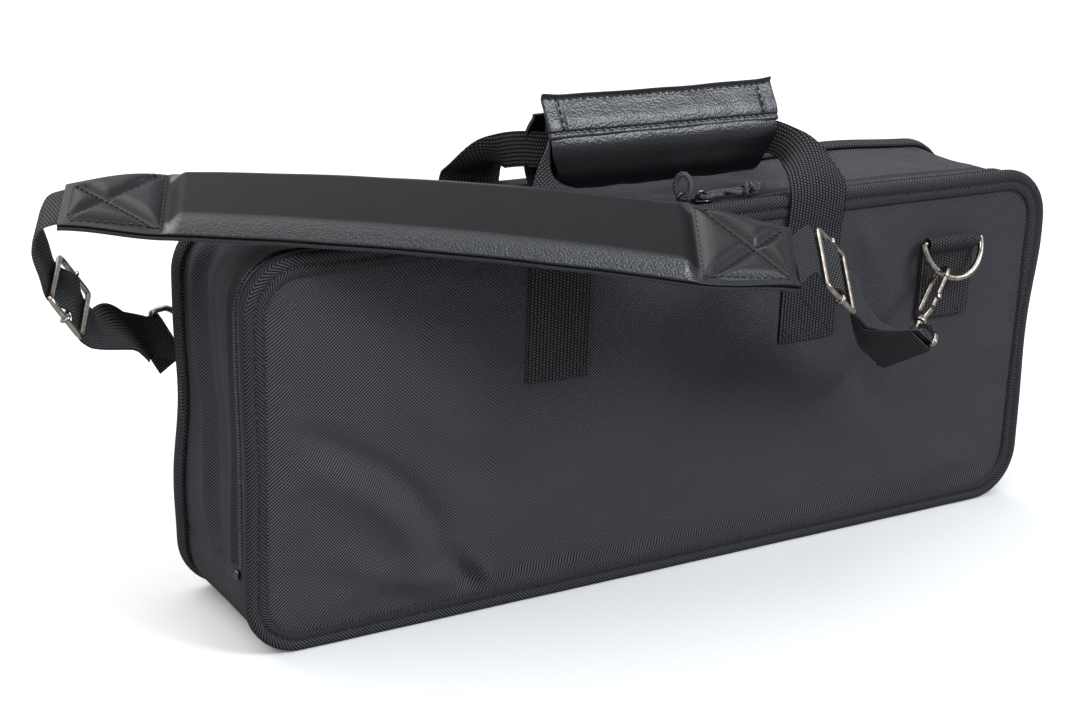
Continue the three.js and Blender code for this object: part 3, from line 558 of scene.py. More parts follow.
hook_fuzz = make_finish("hook and loop", shade(12, 12, 14), shade(48, 48, 51), pebble_group,
                        {"Size": 0.0009}, 0.0004, 0.85, dye=0.1, on_map=False, specular=0.2, sheen=0.3)
bright_metal = make_finish("bright metal", shade(118, 110, 102), shade(178, 168, 158), pebble_group,
                           {"Size": 0.004}, 0.000002, 0.26, rough_spread=0.08, dye_size=0.012, dye=0.2,
                           on_map=False, metallic=1.0)
zip_metal = make_finish("zip metal", shade(48, 48, 52), shade(104, 104, 110), pebble_group,
                        {"Size": 0.003}, 0.000002, 0.3, rough_spread=0.1, dye_size=0.01, dye=0.2,
                        on_map=False, metallic=1.0)


# the bag's soft shape

def outline_path(step=5.0, corner_steps=10):
    """Places and outward ways round the bag's outline in XZ, from the middle of its base."""
    x, r = LENGTH / 2, CORNER
    places, ways = [], []

    def straight(a, b, way):
        count = max(int(math.hypot(b[0] - a[0], b[1] - a[1]) / step), 1)
        for t in np.arange(count) / count:
            places.append((a[0] + (b[0] - a[0]) * t, a[1] + (b[1] - a[1]) * t))
            ways.append(way)

    def turn(cx, cz, start):
        for t in np.arange(corner_steps) / corner_steps:
            angle = start + t * math.pi / 2
            ways.append((math.cos(angle), math.sin(angle)))
            places.append((cx + r * math.cos(angle), cz + r * math.sin(angle)))

    straight((0, 0), (x - r, 0), (0, -1))
    turn(x - r, r, -math.pi / 2)
    straight((x, r), (x, HEIGHT - r), (1, 0))
    turn(x - r, HEIGHT - r, 0)
    straight((x - r, HEIGHT), (r - x, HEIGHT), (0, 1))
    turn(r - x, HEIGHT - r, math.pi / 2)
    straight((-x, HEIGHT - r), (-x, r), (-1, 0))
    turn(r - x, r, math.pi)
    straight((r - x, 0), (0, 0), (0, -1))
    return np.array(places), np.array(ways)


def wall_path(low, step=5.0):
    """The part of the outline above a height, from the right side over the top to the left."""
    places, ways = outline_path(step)
    keep = [i for i in range(len(places)) if places[i][1] > low + 1e-6]
    ends = [((LENGTH / 2, low), (1.0, 0.0)), ((-LENGTH / 2, low), (-1.0, 0.0))]
    line = [ends[0][0]] + [tuple(places[i]) for i in keep] + [ends[1][0]]
    faced = [ends[0][1]] + [tuple(ways[i]) for i in keep] + [ends[1][1]]
    return np.array(line), np.array(faced)


def base_path(high, step=5.0):
    """The part of the outline below a height, from the left side under the base to the right."""
    places, ways = outline_path(step)
    half = len(places) // 2
    order = list(range(half, len(places))) + list(range(half))
    keep = [i for i in order if places[i][1] < high - 1e-6]
    line = [(-LENGTH / 2, high)] + [tuple(places[i]) for i in keep] + [(LENGTH / 2, high)]
    faced = [(-1.0, 0.0)] + [tuple(ways[i]) for i in keep] + [(1.0, 0.0)]
    return np.array(line), np.array(faced)


def edge_lean(x, z, y):
    """How far the soft outline stands out of its plain one, in millimetres."""
    back = (y - FRONT) / DEPTH
    lift = smooth(z, 6, 45)
    front = 1.1 * ripple(x, 0, z, 90, 2.3) - 2.6 * hump(x, 270, 40) * hump(z, 112, 34) \
        + 1.2 * hump(x, 270, 40) * hump(z, 172, 22) - 1.2 * hump(x, -270, 40) * hump(z, 95, 40)
    rear = 1.4 * ripple(x, 40, z, 80, 5.7) + 3.6 * hump(x, 168, 62) * hump(z, 218, 30) \
        - 1.6 * hump(x, -150, 60) * hump(z, 218, 30) - 2.2 * hump(x, -270, 40) * hump(z, 120, 30) \
        + 1.6 * hump(x, -270, 40) * hump(z, 70, 26)
    return lift * (front * (1 - back) + rear * back)


def wall_fold(x, z, y):
    """Folds of the walls, which fade out at the zip and at the back binding."""
    held = smooth(y, -24, -8) * (1 - smooth(y, 30, 41))
    left = smooth(-x, 246, 268)
    right = smooth(x, 246, 268)
    top = smooth(z, 205, 216) * (1 - left) * (1 - right)
    crease = 2 + 14 * smooth(z, 60, 190)
    bent = crease - 0.35 * (1 - smooth(z, 30, 74)) * (74 - z)
    fold = left * (-3.4 * hump(y, bent, 9) * smooth(z, 16, 60)
                   + 2.6 * hump(y, bent + 11, 5) * smooth(z, 24, 90)
                   - 1.6 * hump(y, bent - 17, 6) * smooth(z, 40, 110)
                   - 1.8 * hump(y, bent + 24, 6) * smooth(z, 50, 120))
    fold += right * (-2.0 * hump(y, 8 - 0.12 * (z - 110), 13) * smooth(z, 30, 90) * (1 - smooth(z, 170, 205)))
    fold += top * (-2.2 * hump(y, 12, 16) * (0.6 + 0.8 * ripple(x, 0, 0, 60, 1.9))
                   + 1.8 * ripple(x, y, 0, 24, 4.4) - 2.4 * hump(x - 1.6 * y, 108, 9)
                   + 1.6 * hump(x - 1.6 * y, 124, 9) - 1.6 * hump(x + 1.2 * y, -120, 10))
    return held * (fold + 0.5 * ripple(x, y, z, 23, 7.7))


def soft_wall(place, way, inset, y):
    """A point of the walls: how far in from the outline and how deep, with its lean and folds."""
    x, z = place
    out = edge_lean(x, z, y) + wall_fold(x, z, y) - inset
    return vec(x + way[0] * out, y, max(z + way[1] * out, 0.0))


# Creases of the front face: where each runs in XZ, and its height and breadth
FRONT_CREASES = [
    ([(-248, 110), (-215, 91), (-195, 77), (-179, 59), (-172, 44), (-169, 32)], 3.6, 11.0),
    ([(-236, 121), (-213, 107), (-190, 93), (-173, 76), (-160, 58), (-156, 40)], -3.4, 8.0),
    ([(-137, 36), (-129, 24), (-123, 12)], 2.6, 4.5),
    ([(-148, 37), (-141, 25), (-135, 13)], -2.4, 4.5),
    ([(-222, 50), (-196, 36), (-166, 25), (-147, 25)], 2.4, 9.0),
    ([(-160, 38), (-146, 27), (-138, 16)], -1.4, 5.0),
    ([(-186, 152), (-170, 126), (-150, 108), (-128, 102)], 1.8, 15.0),
    ([(-150, 96), (-128, 84), (-118, 64)], -1.6, 14.0),
    ([(-262, 131), (-253, 134), (-240, 131)], 1.5, 4.0),
    ([(-262, 116), (-252, 110), (-238, 106)], -1.3, 4.5),
    ([(-264, 96), (-250, 90), (-236, 92)], 1.0, 5.0),
    ([(-231, 12), (-216, 24), (-200, 27)], 1.4, 5.0),
    ([(-196, 12), (-186, 22), (-178, 34)], -1.0, 5.0),
    ([(119, 206), (124, 190), (136, 168)], 1.6, 7.0),
    ([(131, 116), (131, 104), (139, 88), (153, 77)], -1.4, 10.0),
    ([(262, 108), (250, 103), (232, 104)], 1.5, 6.0),
    ([(262, 84), (248, 78), (226, 78)], -1.2, 8.0),
    ([(-60, 16), (-48, 34), (-30, 48)], 1.2, 10.0),
    ([(60, 14), (76, 30), (88, 52)], 1.0, 10.0),
    ([(-10, 196), (6, 176), (10, 150)], -1.2, 12.0),
    ([(-226, 186), (-196, 180), (-160, 186), (-120, 178)], -1.2, 11.0),
    ([(180, 20), (204, 32), (236, 30)], 1.2, 9.0),
]


def crease_height(x, z):
    """How far the creases lift the front face at a place on it."""
    total = 0.0
    for line, height, breadth in FRONT_CREASES:
        best, at = 1e9, 0.0
        count = len(line) - 1
        for i in range(count):
            ax, az = line[i]
            dx, dz = line[i + 1][0] - ax, line[i + 1][1] - az
            t = min(max(((x - ax) * dx + (z - az) * dz) / (dx * dx + dz * dz), 0.0), 1.0)
            far = math.hypot(x - ax - t * dx, z - az - t * dz)
            if far < best:
                best, at = far, (i + t) / count
        if best < 3 * breadth:
            fade = math.sin(math.pi * min(max(0.12 + 0.76 * at, 0), 1))
            total += 1.6 * height * fade * math.exp(-(best / (0.9 * breadth)) ** 2)
    return total


# How far the padding reaches to the sides and up, and how far to each side the handles are sewn on
PADDED_HALF, PADDED_TOP, HANDLE_X = 267, 215, 86


def padded_rim(x, z):
    """0 at the edge of a padded panel, and 1 where it is full."""
    return smooth(PADDED_HALF - abs(x), 4, 34) * smooth(z, 4, 30) * smooth(PADDED_TOP - z, 4, 30)


def under_patches(x, z):
    """How much padding is left where the handles are sewn on over it."""
    left = 1
    for side in (-1, 1):
        left *= 1 - 0.75 * smooth(26 - abs(x - side * HANDLE_X), 0, 8) * smooth(z, 118, 132)
    return left


def front_rise(x, z):
    """How far the padded front stands out of its flat plane, in millimetres."""
    flat = (1 - 0.85 * smooth(x, 140, 168) * smooth(z, 110, 128)) * under_patches(x, z)
    body = 1.7 * (1 - (x / 300) ** 2) + 1.4 * ripple(x, 0, z, 85, 3.3) + 0.8 * ripple(x, 0, z, 34, 8.1)
    edge = min(PADDED_HALF - abs(x), z, PADDED_TOP - z)
    pucker = 0.9 * float(hump(edge, 17, 8)) * ripple(x, 0, z, 11, 4.7)
    return padded_rim(x, z) * flat * (body + crease_height(x, z)) + flat * pucker


def back_rise(x, z):
    """How far the padded back stands out of its flat plane, in millimetres."""
    flat = (1 - smooth(-x, 140, 168) * smooth(z, 110, 128)) * under_patches(x, z)
    body = 1.4 * (1 - (x / 300) ** 2) + 0.9 * ripple(x, 9, z, 80, 6.1) + 0.7 * ripple(x, 9, z, 38, 9.4) \
        - 1.6 * hump(x - 0.7 * z, -210, 10) * hump(z, 70, 34) \
        + 1.4 * hump(x - 0.7 * z, -190, 10) * hump(z, 70, 34)
    return padded_rim(x, z) * flat * body


def panel_grid(inset, step):
    """A grid over the outline drawn in by an inset, its corners drawn round."""
    hx, hz, r = LENGTH / 2 - inset, HEIGHT / 2 - inset, CORNER - inset
    nx, nz = int(2 * hx / step) + 1, int(2 * hz / step) + 1
    grid = np.zeros((nz, nx, 2))
    for i, z in enumerate(np.linspace(-hz, hz, nz)):
        for j, x in enumerate(np.linspace(-hx, hx, nx)):
            a, b = (abs(x) - hx + r) / r, (abs(z) - hz + r) / r
            at = (x, z)
            if a > 0 and b > 0:
                share = max(a, b) / math.hypot(a, b)
                at = (math.copysign(hx - r + a * share * r, x), math.copysign(hz - r + b * share * r, z))
            grid[i, j] = (at[0], at[1] + HEIGHT / 2)
    return grid


BACK_FACE = BACK - 1.5
PANEL_THICK, PANEL_INSET = 6.3, 2.5
LINING_THICK, LINING_INSET, LINING_STEP = 1.0, 7.0, 9.0


def bend_at_hem(piece):
    """Bakes the place of a piece of the lid into its mesh points."""
    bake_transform(piece)


def panel_piece(name, face, thick, rise, inset, step, side):
    """A padded panel: its outer face at a depth, raised by its own folds, and its flat inner face."""
    grid = panel_grid(inset, step)
    outer = np.zeros(grid.shape[:2] + (3,))
    depth = np.zeros(grid.shape[:2])
    for i in range(grid.shape[0]):
        for j in range(grid.shape[1]):
            x, z = grid[i, j]
            up = rise(x, z) if rise else 0.0
            outer[i, j] = (x, face + side * up, z)
            depth[i, j] = thick + up
    facing = np.broadcast_to(vec(0, side, 0), outer.shape)
    return sheet_piece(name, outer, depth, facing)


def make_panels():
    """The padded front and back, and their linings."""
    front = panel_piece("front_cover", FRONT, PANEL_THICK, front_rise, PANEL_INSET, 3.0, -1)
    finish_piece(front, outer_cloth, None, ["front_panel", "front_padding", "front_hem"])
    bend_at_hem(front)
    back = panel_piece("back_cover", BACK_FACE, PANEL_THICK, back_rise, PANEL_INSET, 4.0, 1)
    finish_piece(back, outer_cloth, "case", ["back_panel", "back_padding"])
    inner = panel_piece("lid_lining", FRONT + 6.6, LINING_THICK, None, LINING_INSET, LINING_STEP, -1)
    finish_piece(inner, lining_cloth, None, ["front_lining"])
    bend_at_hem(inner)
    rear = panel_piece("back_lining_cloth", BACK - 8.3, LINING_THICK, None, LINING_INSET, LINING_STEP, 1)
    finish_piece(rear, lining_cloth, "case", ["back_lining"])


# The binding's section: how far in from the outline, and how deep from the panel's own face
BINDING_SECTION = [
    (12.2, 0.2), (12.1, -0.9), (11.2, -1.5), (9.2, -1.9), (7.4, -1.8), (6.6, -1.0), (5.8, -1.0), (5.0, -1.9),
    (3.2, -2.2), (1.4, -1.9), (0.2, -1.0), (-0.35, 0.3), (-0.35, 2.6), (0.3, 5.6), (1.3, 8.1), (2.6, 8.2),
    (2.9, 7.2), (2.2, 0.9), (2.4, 0.3), (7.0, 0.2),
]


def edging_rings(side, places, ways):
    """The binding's section carried round the outline of the front or the back."""
    face = FRONT if side < 0 else BACK_FACE
    rings = []
    for place, way in zip(places, ways):
        x, z = place
        plump = 0.25 * ripple(x, side * 20, z, 26, 1.1)
        ring = []
        for inset, deep in BINDING_SECTION:
            y = face - side * deep
            lean = edge_lean(x, z, y)
            under = front_rise if side < 0 else back_rise
            lift = under(x - way[0] * inset, z - way[1] * inset) if inset > 5 and deep < 1 else 0.0
            out = lean * (1 - smooth(inset, 6, 12)) - inset
            puff = plump if deep < 0 else 0.0
            ring.append(vec(x + way[0] * out, y + side * (lift + puff), max(z + way[1] * out, 0.0)))
        rings.append(ring)
    return rings


def make_edgings():
    """The binding tapes and the two rows of stitches along each."""
    places, ways = outline_path(4.0, 14)
    front = skin("front_edging", edging_rings(-1, places, ways), loop=True)
    finish_piece(front, binding_tape, None, ["front_binding", "base_binding"], angle=60)
    bend_at_hem(front)
    back = skin("back_edging", edging_rings(1, places, ways), loop=True)
    finish_piece(back, binding_tape, "case", ["back_binding"], angle=60)
    for side, label, body, face, rise in ((-1, "front", None, FRONT, front_rise),
                                          (1, "back", "case", BACK_FACE, back_rise)):
        rows = []
        for inset, raised in ((10.9, 1.55), (6.2, 1.05)):
            line = []
            for place, way in zip(places, ways):
                lift = rise(place[0] - way[0] * inset, place[1] - way[1] * inset) + raised
                out = edge_lean(place[0], place[1], face) * (1 - smooth(inset, 6, 12)) - inset
                line.append(vec(place[0] + way[0] * out, face + side * lift, place[1] + way[1] * out))
            line.append(line[0])
            rows.append((line, vec(0, side, 0)))
        seam = stitches(f"{label}_edging_stitches", rows, dark_thread, body,
                        length=3.1, pitch=3.7, wide=0.5)
        if side < 0:
            bend_at_hem(seam)


ZIP_END = 45.3  # the height at which the zip stops on both sides
WALL_INSET, WALL_CLOTH = 4.0, 1.2  # how far in from the outline the walls' cloth lies, and its thickness
LINING_DEPTHS = np.linspace(-31.2, 40.4, 15)
BASE_DEPTHS = np.linspace(-41.5, 41.5, 19)
LID_TAPE, CASE_TAPE = (-41.5, -35.8), (-31.1, -20.2)


def settle(z):
    """How far the base of the bag lies down onto the floor under its stiff edges."""
    return 4.0 * float(1 - smooth(z, 5, 38))


def wall_ring(place, way, inset, thick, depths):
    """A closed ring of the walls' section: across its outer face and back across its inner one."""
    outer = [soft_wall(place, way, inset, y) for y in depths]
    return outer + [soft_wall(place, way, inset + thick, y) for y in reversed(depths)]


def wall_piece(name, path, inset, thick, depths, tuck=0.0, loop=False):
    """A strip of the walls: its outer face across some depths, and its inner face. A tuck draws
    the strip in under the next one where they meet."""
    rings = []
    for place, way in zip(*path):
        at = (place[0], place[1] - settle(place[1]))
        under = inset + tuck * float(smooth(place[1], 36, 43))
        rings.append(wall_ring(at, way, under, thick, depths))
    return skin(name, rings, loop)


def zip_line_shift(z):
    """The zip runs closer to the front binding towards its lower ends."""
    return -2.6 * (1 - smooth(z, 42, 120))


def zip_piece(name, path, reach, steps, shift_low=True, shift_high=True):
    """A strip of the walls beside the zip, whose near edges follow the zip's line."""
    rings = []
    for place, way in zip(*path):
        shift = zip_line_shift(place[1])
        low = reach[0] + (shift if shift_low else 0.0)
        high = reach[1] + (shift if shift_high else 0.0)
        rings.append(wall_ring(place, way, WALL_INSET, WALL_CLOTH, np.linspace(low, high, steps)))
    return skin(name, rings)


def make_walls():
    """The walls, the base, what lies inside them, and the zip."""
    upper = wall_path(ZIP_END)
    depths = np.concatenate([np.linspace(-19.9, 34, 19), [38.0, 41.5]])
    side = wall_piece("gusset_cover", wall_path(43.6), WALL_INSET, WALL_CLOTH, depths)
    finish_piece(side, outer_cloth, "case", ["side_gusset"])
    base = wall_piece("base_cover", base_path(47.0), WALL_INSET, WALL_CLOTH, BASE_DEPTHS, tuck=1.25)
    finish_piece(base, outer_cloth, "case", ["base_gusset"])
    for name, inset, thick, slot, finish, node in (
            ("gusset_quilting", 6.6, 4.1, "padding_foam", under_cloth, "gusset_padding"),
            ("gusset_lining_cloth", 10.8, 1.0, "lining_cloth", lining_cloth, "gusset_lining")):
        piece = wall_piece(name, outline_path(8.0, 8), inset, thick, LINING_DEPTHS, loop=True)
        finish_piece(piece, finish, "case", [node])
    tape_front = zip_piece("zip_tape_lid_side", upper, LID_TAPE, 5, shift_low=False)
    finish_piece(tape_front, zip_tape, "lid", ["zip_tape_front"])
    tape_case = zip_piece("zip_tape_case_side", upper, CASE_TAPE, 7, shift_high=False)
    finish_piece(tape_case, zip_tape, "case", ["zip_tape_case"])
    for name, y, row_shift, body, node in (("zip_teeth_lid_side", -34.5, 0.0, "lid", "zip_coil_front"),
                                           ("zip_teeth_case_side", -32.4, 0.5, "case", "zip_coil_case")):
        make_teeth(name, y, row_shift, body, node)


TOOTH_PITCH, TOOTH_CORE = 1.6, 0.62


def make_teeth(name, y, row_shift, body, node):
    """A zip coil: turns of nylon that stand side by side along the tape's edge, on a core cord."""
    places, ways = wall_path(ZIP_END, step=3.0)
    line = np.array([soft_wall(p, w, WALL_INSET, y + zip_line_shift(p[1])) for p, w in zip(places, ways)])
    facing = np.array([vec(w[0], 0, w[1]) for w in ways])
    run = run_of(line)
    count = int(run[-1] / TOOTH_PITCH)
    at = (np.arange(count) + row_shift) * TOOTH_PITCH
    middles = read_off(at, run, line)
    outs = read_off(at, run, facing)
    toward = 1 if body == "lid" else -1
    points, faces = [], []
    shape = [(-1.15, -0.4, 0.4), (-1.05, 0.7, 0.45), (0.1, 1.2, 0.45), (0.95, 0.9, 0.52), (1.1, 0.1, 0.48)]
    for p, n in zip(middles, outs):
        n = unit(n)
        d = unit(np.cross(vec(0, 1, 0), n))
        base = len(points)
        for across, high, wide in shape:
            centre = p + vec(0, toward * across, 0) + n * (high + 0.35)
            for a, b in ((-1, -1), (1, -1), (1, 1), (-1, 1)):
                points.append(centre + d * a * wide + n * b * 0.45)
        faces += prism_faces(base, len(shape), 4)
    teeth = mesh_piece(name, np.array(points), outward(points, faces))
    core_line = line + facing * 0.3 - vec(0, toward * 0.75, 0)
    core = skin(name + "_core", tube_rings(core_line, TOOTH_CORE, 6))
    finish_piece(joined(name, [teeth, core]), coil_nylon, body, [node])


# webbing

LANES = np.linspace(-1, 1, 9)
STRAP_THICK, HANDLE_THICK, TAB_THICK = 1.5, 1.6, 1.35


def band(name, line, across, widths, thick, cup=0.0, skew=False):
    """A band of webbing along a line, with the way that it lies across at each point."""
    line = np.asarray(line, float)
    ways = headings(line)
    across = np.broadcast_to(np.asarray(across, float), line.shape)
    widths = np.broadcast_to(widths, (len(line),))
    cups = np.broadcast_to(cup, (len(line),))
    rings = []
    for p, way, a, w, c in zip(line, ways, across, widths, cups):
        a = unit(a) if skew else unit(a - way * (a @ way))
        n = unit(np.cross(way, a))
        top, low = [], []
        for s in LANES:
            half = thick / 2 * (0.55 if abs(s) == 1 else 1)
            middle = p + a * (w / 2 * s) + n * (c * (1 - s * s))
            top.append(middle + n * half)
            low.append(middle - n * half)
        rings.append(low + top[::-1])
    return skin(name, rings)


def spread(values, count):
    """A list of directions drawn out evenly to some number of points."""
    values = np.asarray(values, float)
    return read_off(np.linspace(0, len(values) - 1, count), range(len(values)), values)


def mixed(a, b, share):
    return unit(a + (b - a) * share)


def make_strap_webbing():
    """The strap's webbing: from the front hook to the pad, and from the pad to the rear hook."""
    across = slide_frame("front")[2]
    passes = weave("front")
    half_turn, _, eye_way = round_eye("front", passes[-1])
    route = [(-2, -136.5, 210.6), (3.5, -138.3, 209.7), *passes,
             (81.4, -110.2, 164.6), (97.9, -103.8, 151.6), (114.5, -97.2, 139.4), *half_turn,
             (108.7, -98.9, 138.4), (88.5, -104.9, 153.2), (71.6, -109.3, 166.4)]
    facing = [across] * 9 + [mixed(across, eye_way, share) for share in (0.25, 0.5, 0.75)] + [eye_way] * 6 + [
        mixed(across, eye_way, share) for share in (0.7, 0.4, 0.15)]
    piece = band("front_strap_webbing", through(route, 90), spread(facing, 90), WEBBING, STRAP_THICK, skew=True)
    finish_piece(piece, webbing_cloth, "shoulder_strap", ["front_webbing"])

    across = slide_frame("rear")[2]
    route = [(-333, 16.6, 236.4), (-337.5, 18.2, 235.5), (-346, 19, 232.5), (-350, 19, 222), (-347, 18, 209),
             *weave("rear")[1:-1]]
    piece = band("pad_end_strap_webbing", through(route, 50), across, WEBBING, STRAP_THICK, skew=True)
    finish_piece(piece, webbing_cloth, "shoulder_strap", ["pad_end_webbing"])

    half_turn, heading, eye_way = round_eye("rear", REAR_WAY_IN)
    route = [(-331.5, 17, 179.8), (-328, 16.8, 174.2), (-324.5, 17.1, 170.8), (-321, 20, 168.6),
             (-317, 25, 166.4), (-312, 32, 163.4), (-306, 39.5, 160), (-299, 47.5, 156.4), (-293, 53.6, 153.6),
             (-288.3, 58.9, 151.2), (-283, 63, 148.6), (-277.1, 64.9, 146.2), (-270.8, 65.6, 143.8),
             *half_turn, half_turn[-1] - heading * WEBBING / 3]
    facing = [across, (-0.39, -0.9, -0.18), (-0.34, -0.92, -0.19), (-0.18, -0.96, -0.21),
              (0.02, -0.97, -0.23), (0.2, -0.95, -0.25), (0.32, -0.91, -0.27), (0.39, -0.84, -0.34),
              (0.43, -0.72, -0.47), (0.45, -0.52, -0.62), (0.48, -0.2, -0.78), (0.5, 0.1, -0.85),
              *[eye_way] * 8]
    piece = band("rear_strap_webbing", through(route, 90), spread(facing, 90), WEBBING, STRAP_THICK, skew=True)
    finish_piece(piece, webbing_cloth, None, ["rear_webbing"])
    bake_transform(piece)


PATCH_LOW = 130.0
# How far from the middle of the bag its front and its back face lie under what is sewn on them
PANEL_FACES = {-1: 50.3, 1: 48.8}


def crossed_box(half, low, high, spot, facing, along_sides, along_crosses):
    """Rows of stitches round a box and across it from corner to corner, at the places that spot gives."""
    a, b, c, d = (-half, low), (half, low), (half, high), (-half, high)
    sides = [(a, b), (b, c), (c, d), (d, a)]
    rows = []
    for start, end in sides + [(a, c), (b, d)]:
        count = along_sides if (start, end) in sides else along_crosses
        rows.append(([spot(start[0] + (end[0] - start[0]) * t, start[1] + (end[1] - start[1]) * t)
                      for t in np.linspace(0, 1, count)], facing))
    return rows


def patch_depth(side, x, z):
    """How far a handle's webbing stands out from the middle of the bag where it is sewn on."""
    rise = front_rise(x, z) if side < 0 else back_rise(x, z)
    over = float(smooth(z, 196, 206))
    return PANEL_FACES[side] + rise * (1 - over) + 1.8 * over + 0.8


def make_handle(side, label, panel_body, bar_y):
    """One handle: webbing sewn to its panel, up over the edge, folded on edge into the grip, and down again."""
    nodes = [f"{label}_patch_left", f"{label}_patch_right", f"{label}_handle"]
    for end, hand in ((-1, "left"), (1, "right")):
        flat = [(end * HANDLE_X, side * patch_depth(side, end * HANDLE_X, z), z)
                for z in np.linspace(PATCH_LOW, 208, 20)]
        lean = bar_y - side * 53
        free = [(HANDLE_X, side * 53.3, 214), (HANDLE_X, side * 53.3, 217.5), (HANDLE_X, side * 52.4, 221.5),
                (85.5, side * 50, 227), (84.6, side * 53 + lean * 0.26, 235),
                (82.5, side * 53 + lean * 0.52, 241.5), (77, side * 53 + lean * 0.8, 245.6),
                (68, bar_y + side * 0.4, 246.2), (56, bar_y, 245.8), (30, bar_y, 245.5), (0, bar_y, 245.5)]
        free = [(end * x, y, z) for x, y, z in free]
        line = np.vstack([flat, through([flat[-1]] + free, 54)[1:]])
        run = run_of(line)
        past = run - run[len(flat) - 1]
        turn = smooth(past, 20, 62)
        across = np.stack([end * (1 - turn), 0 * turn, 1.0 * turn], 1)
        widths = WEBBING - 20 * smooth(past, 14, 52)
        cup = 2.2 * hump(past, 30, 16) * side
        piece = band(f"{label}_handle_webbing_{hand}", line, across, widths, HANDLE_THICK, cup)
        gone = [nodes[0] if end < 0 else nodes[1]] + ([nodes[2]] if end > 0 else [])
        finish_piece(piece, webbing_cloth, None, gone)
        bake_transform(piece)

        def spot(x, z):
            return vec(end * HANDLE_X + x, side * (patch_depth(side, end * HANDLE_X, z) + 0.85), z)

        rows = crossed_box(WEBBING / 2 - 2.6, PATCH_LOW + 3, 168, spot, vec(0, side, 0), 24, 40)
        stitches(f"{label}_patch_stitches_{hand}", rows, dark_thread, panel_body,
                 length=2.5, pitch=3.4, wide=0.4)


def make_handles():
    make_handle(-1, "front", "lid", -11)
    make_handle(1, "back", "case", -2)


# the grip

# The wrap's section in YZ, down the front of the handles and up behind them
GRIP_FRONT = [(-16.4, 262.4), (-18.3, 260.2), (-20.2, 256.4), (-21.2, 252), (-21.8, 246), (-21.2, 240),
              (-19.2, 233.5), (-14.6, 227.4), (-7.5, 224.9)]
GRIP_BACK = [(0.6, 226.6), (5.6, 233), (8.0, 240), (8.6, 246), (7.6, 252), (4.6, 258.6), (0.2, 263.4),
             (-1.5, 265.6), (-1.6, 267.6)]


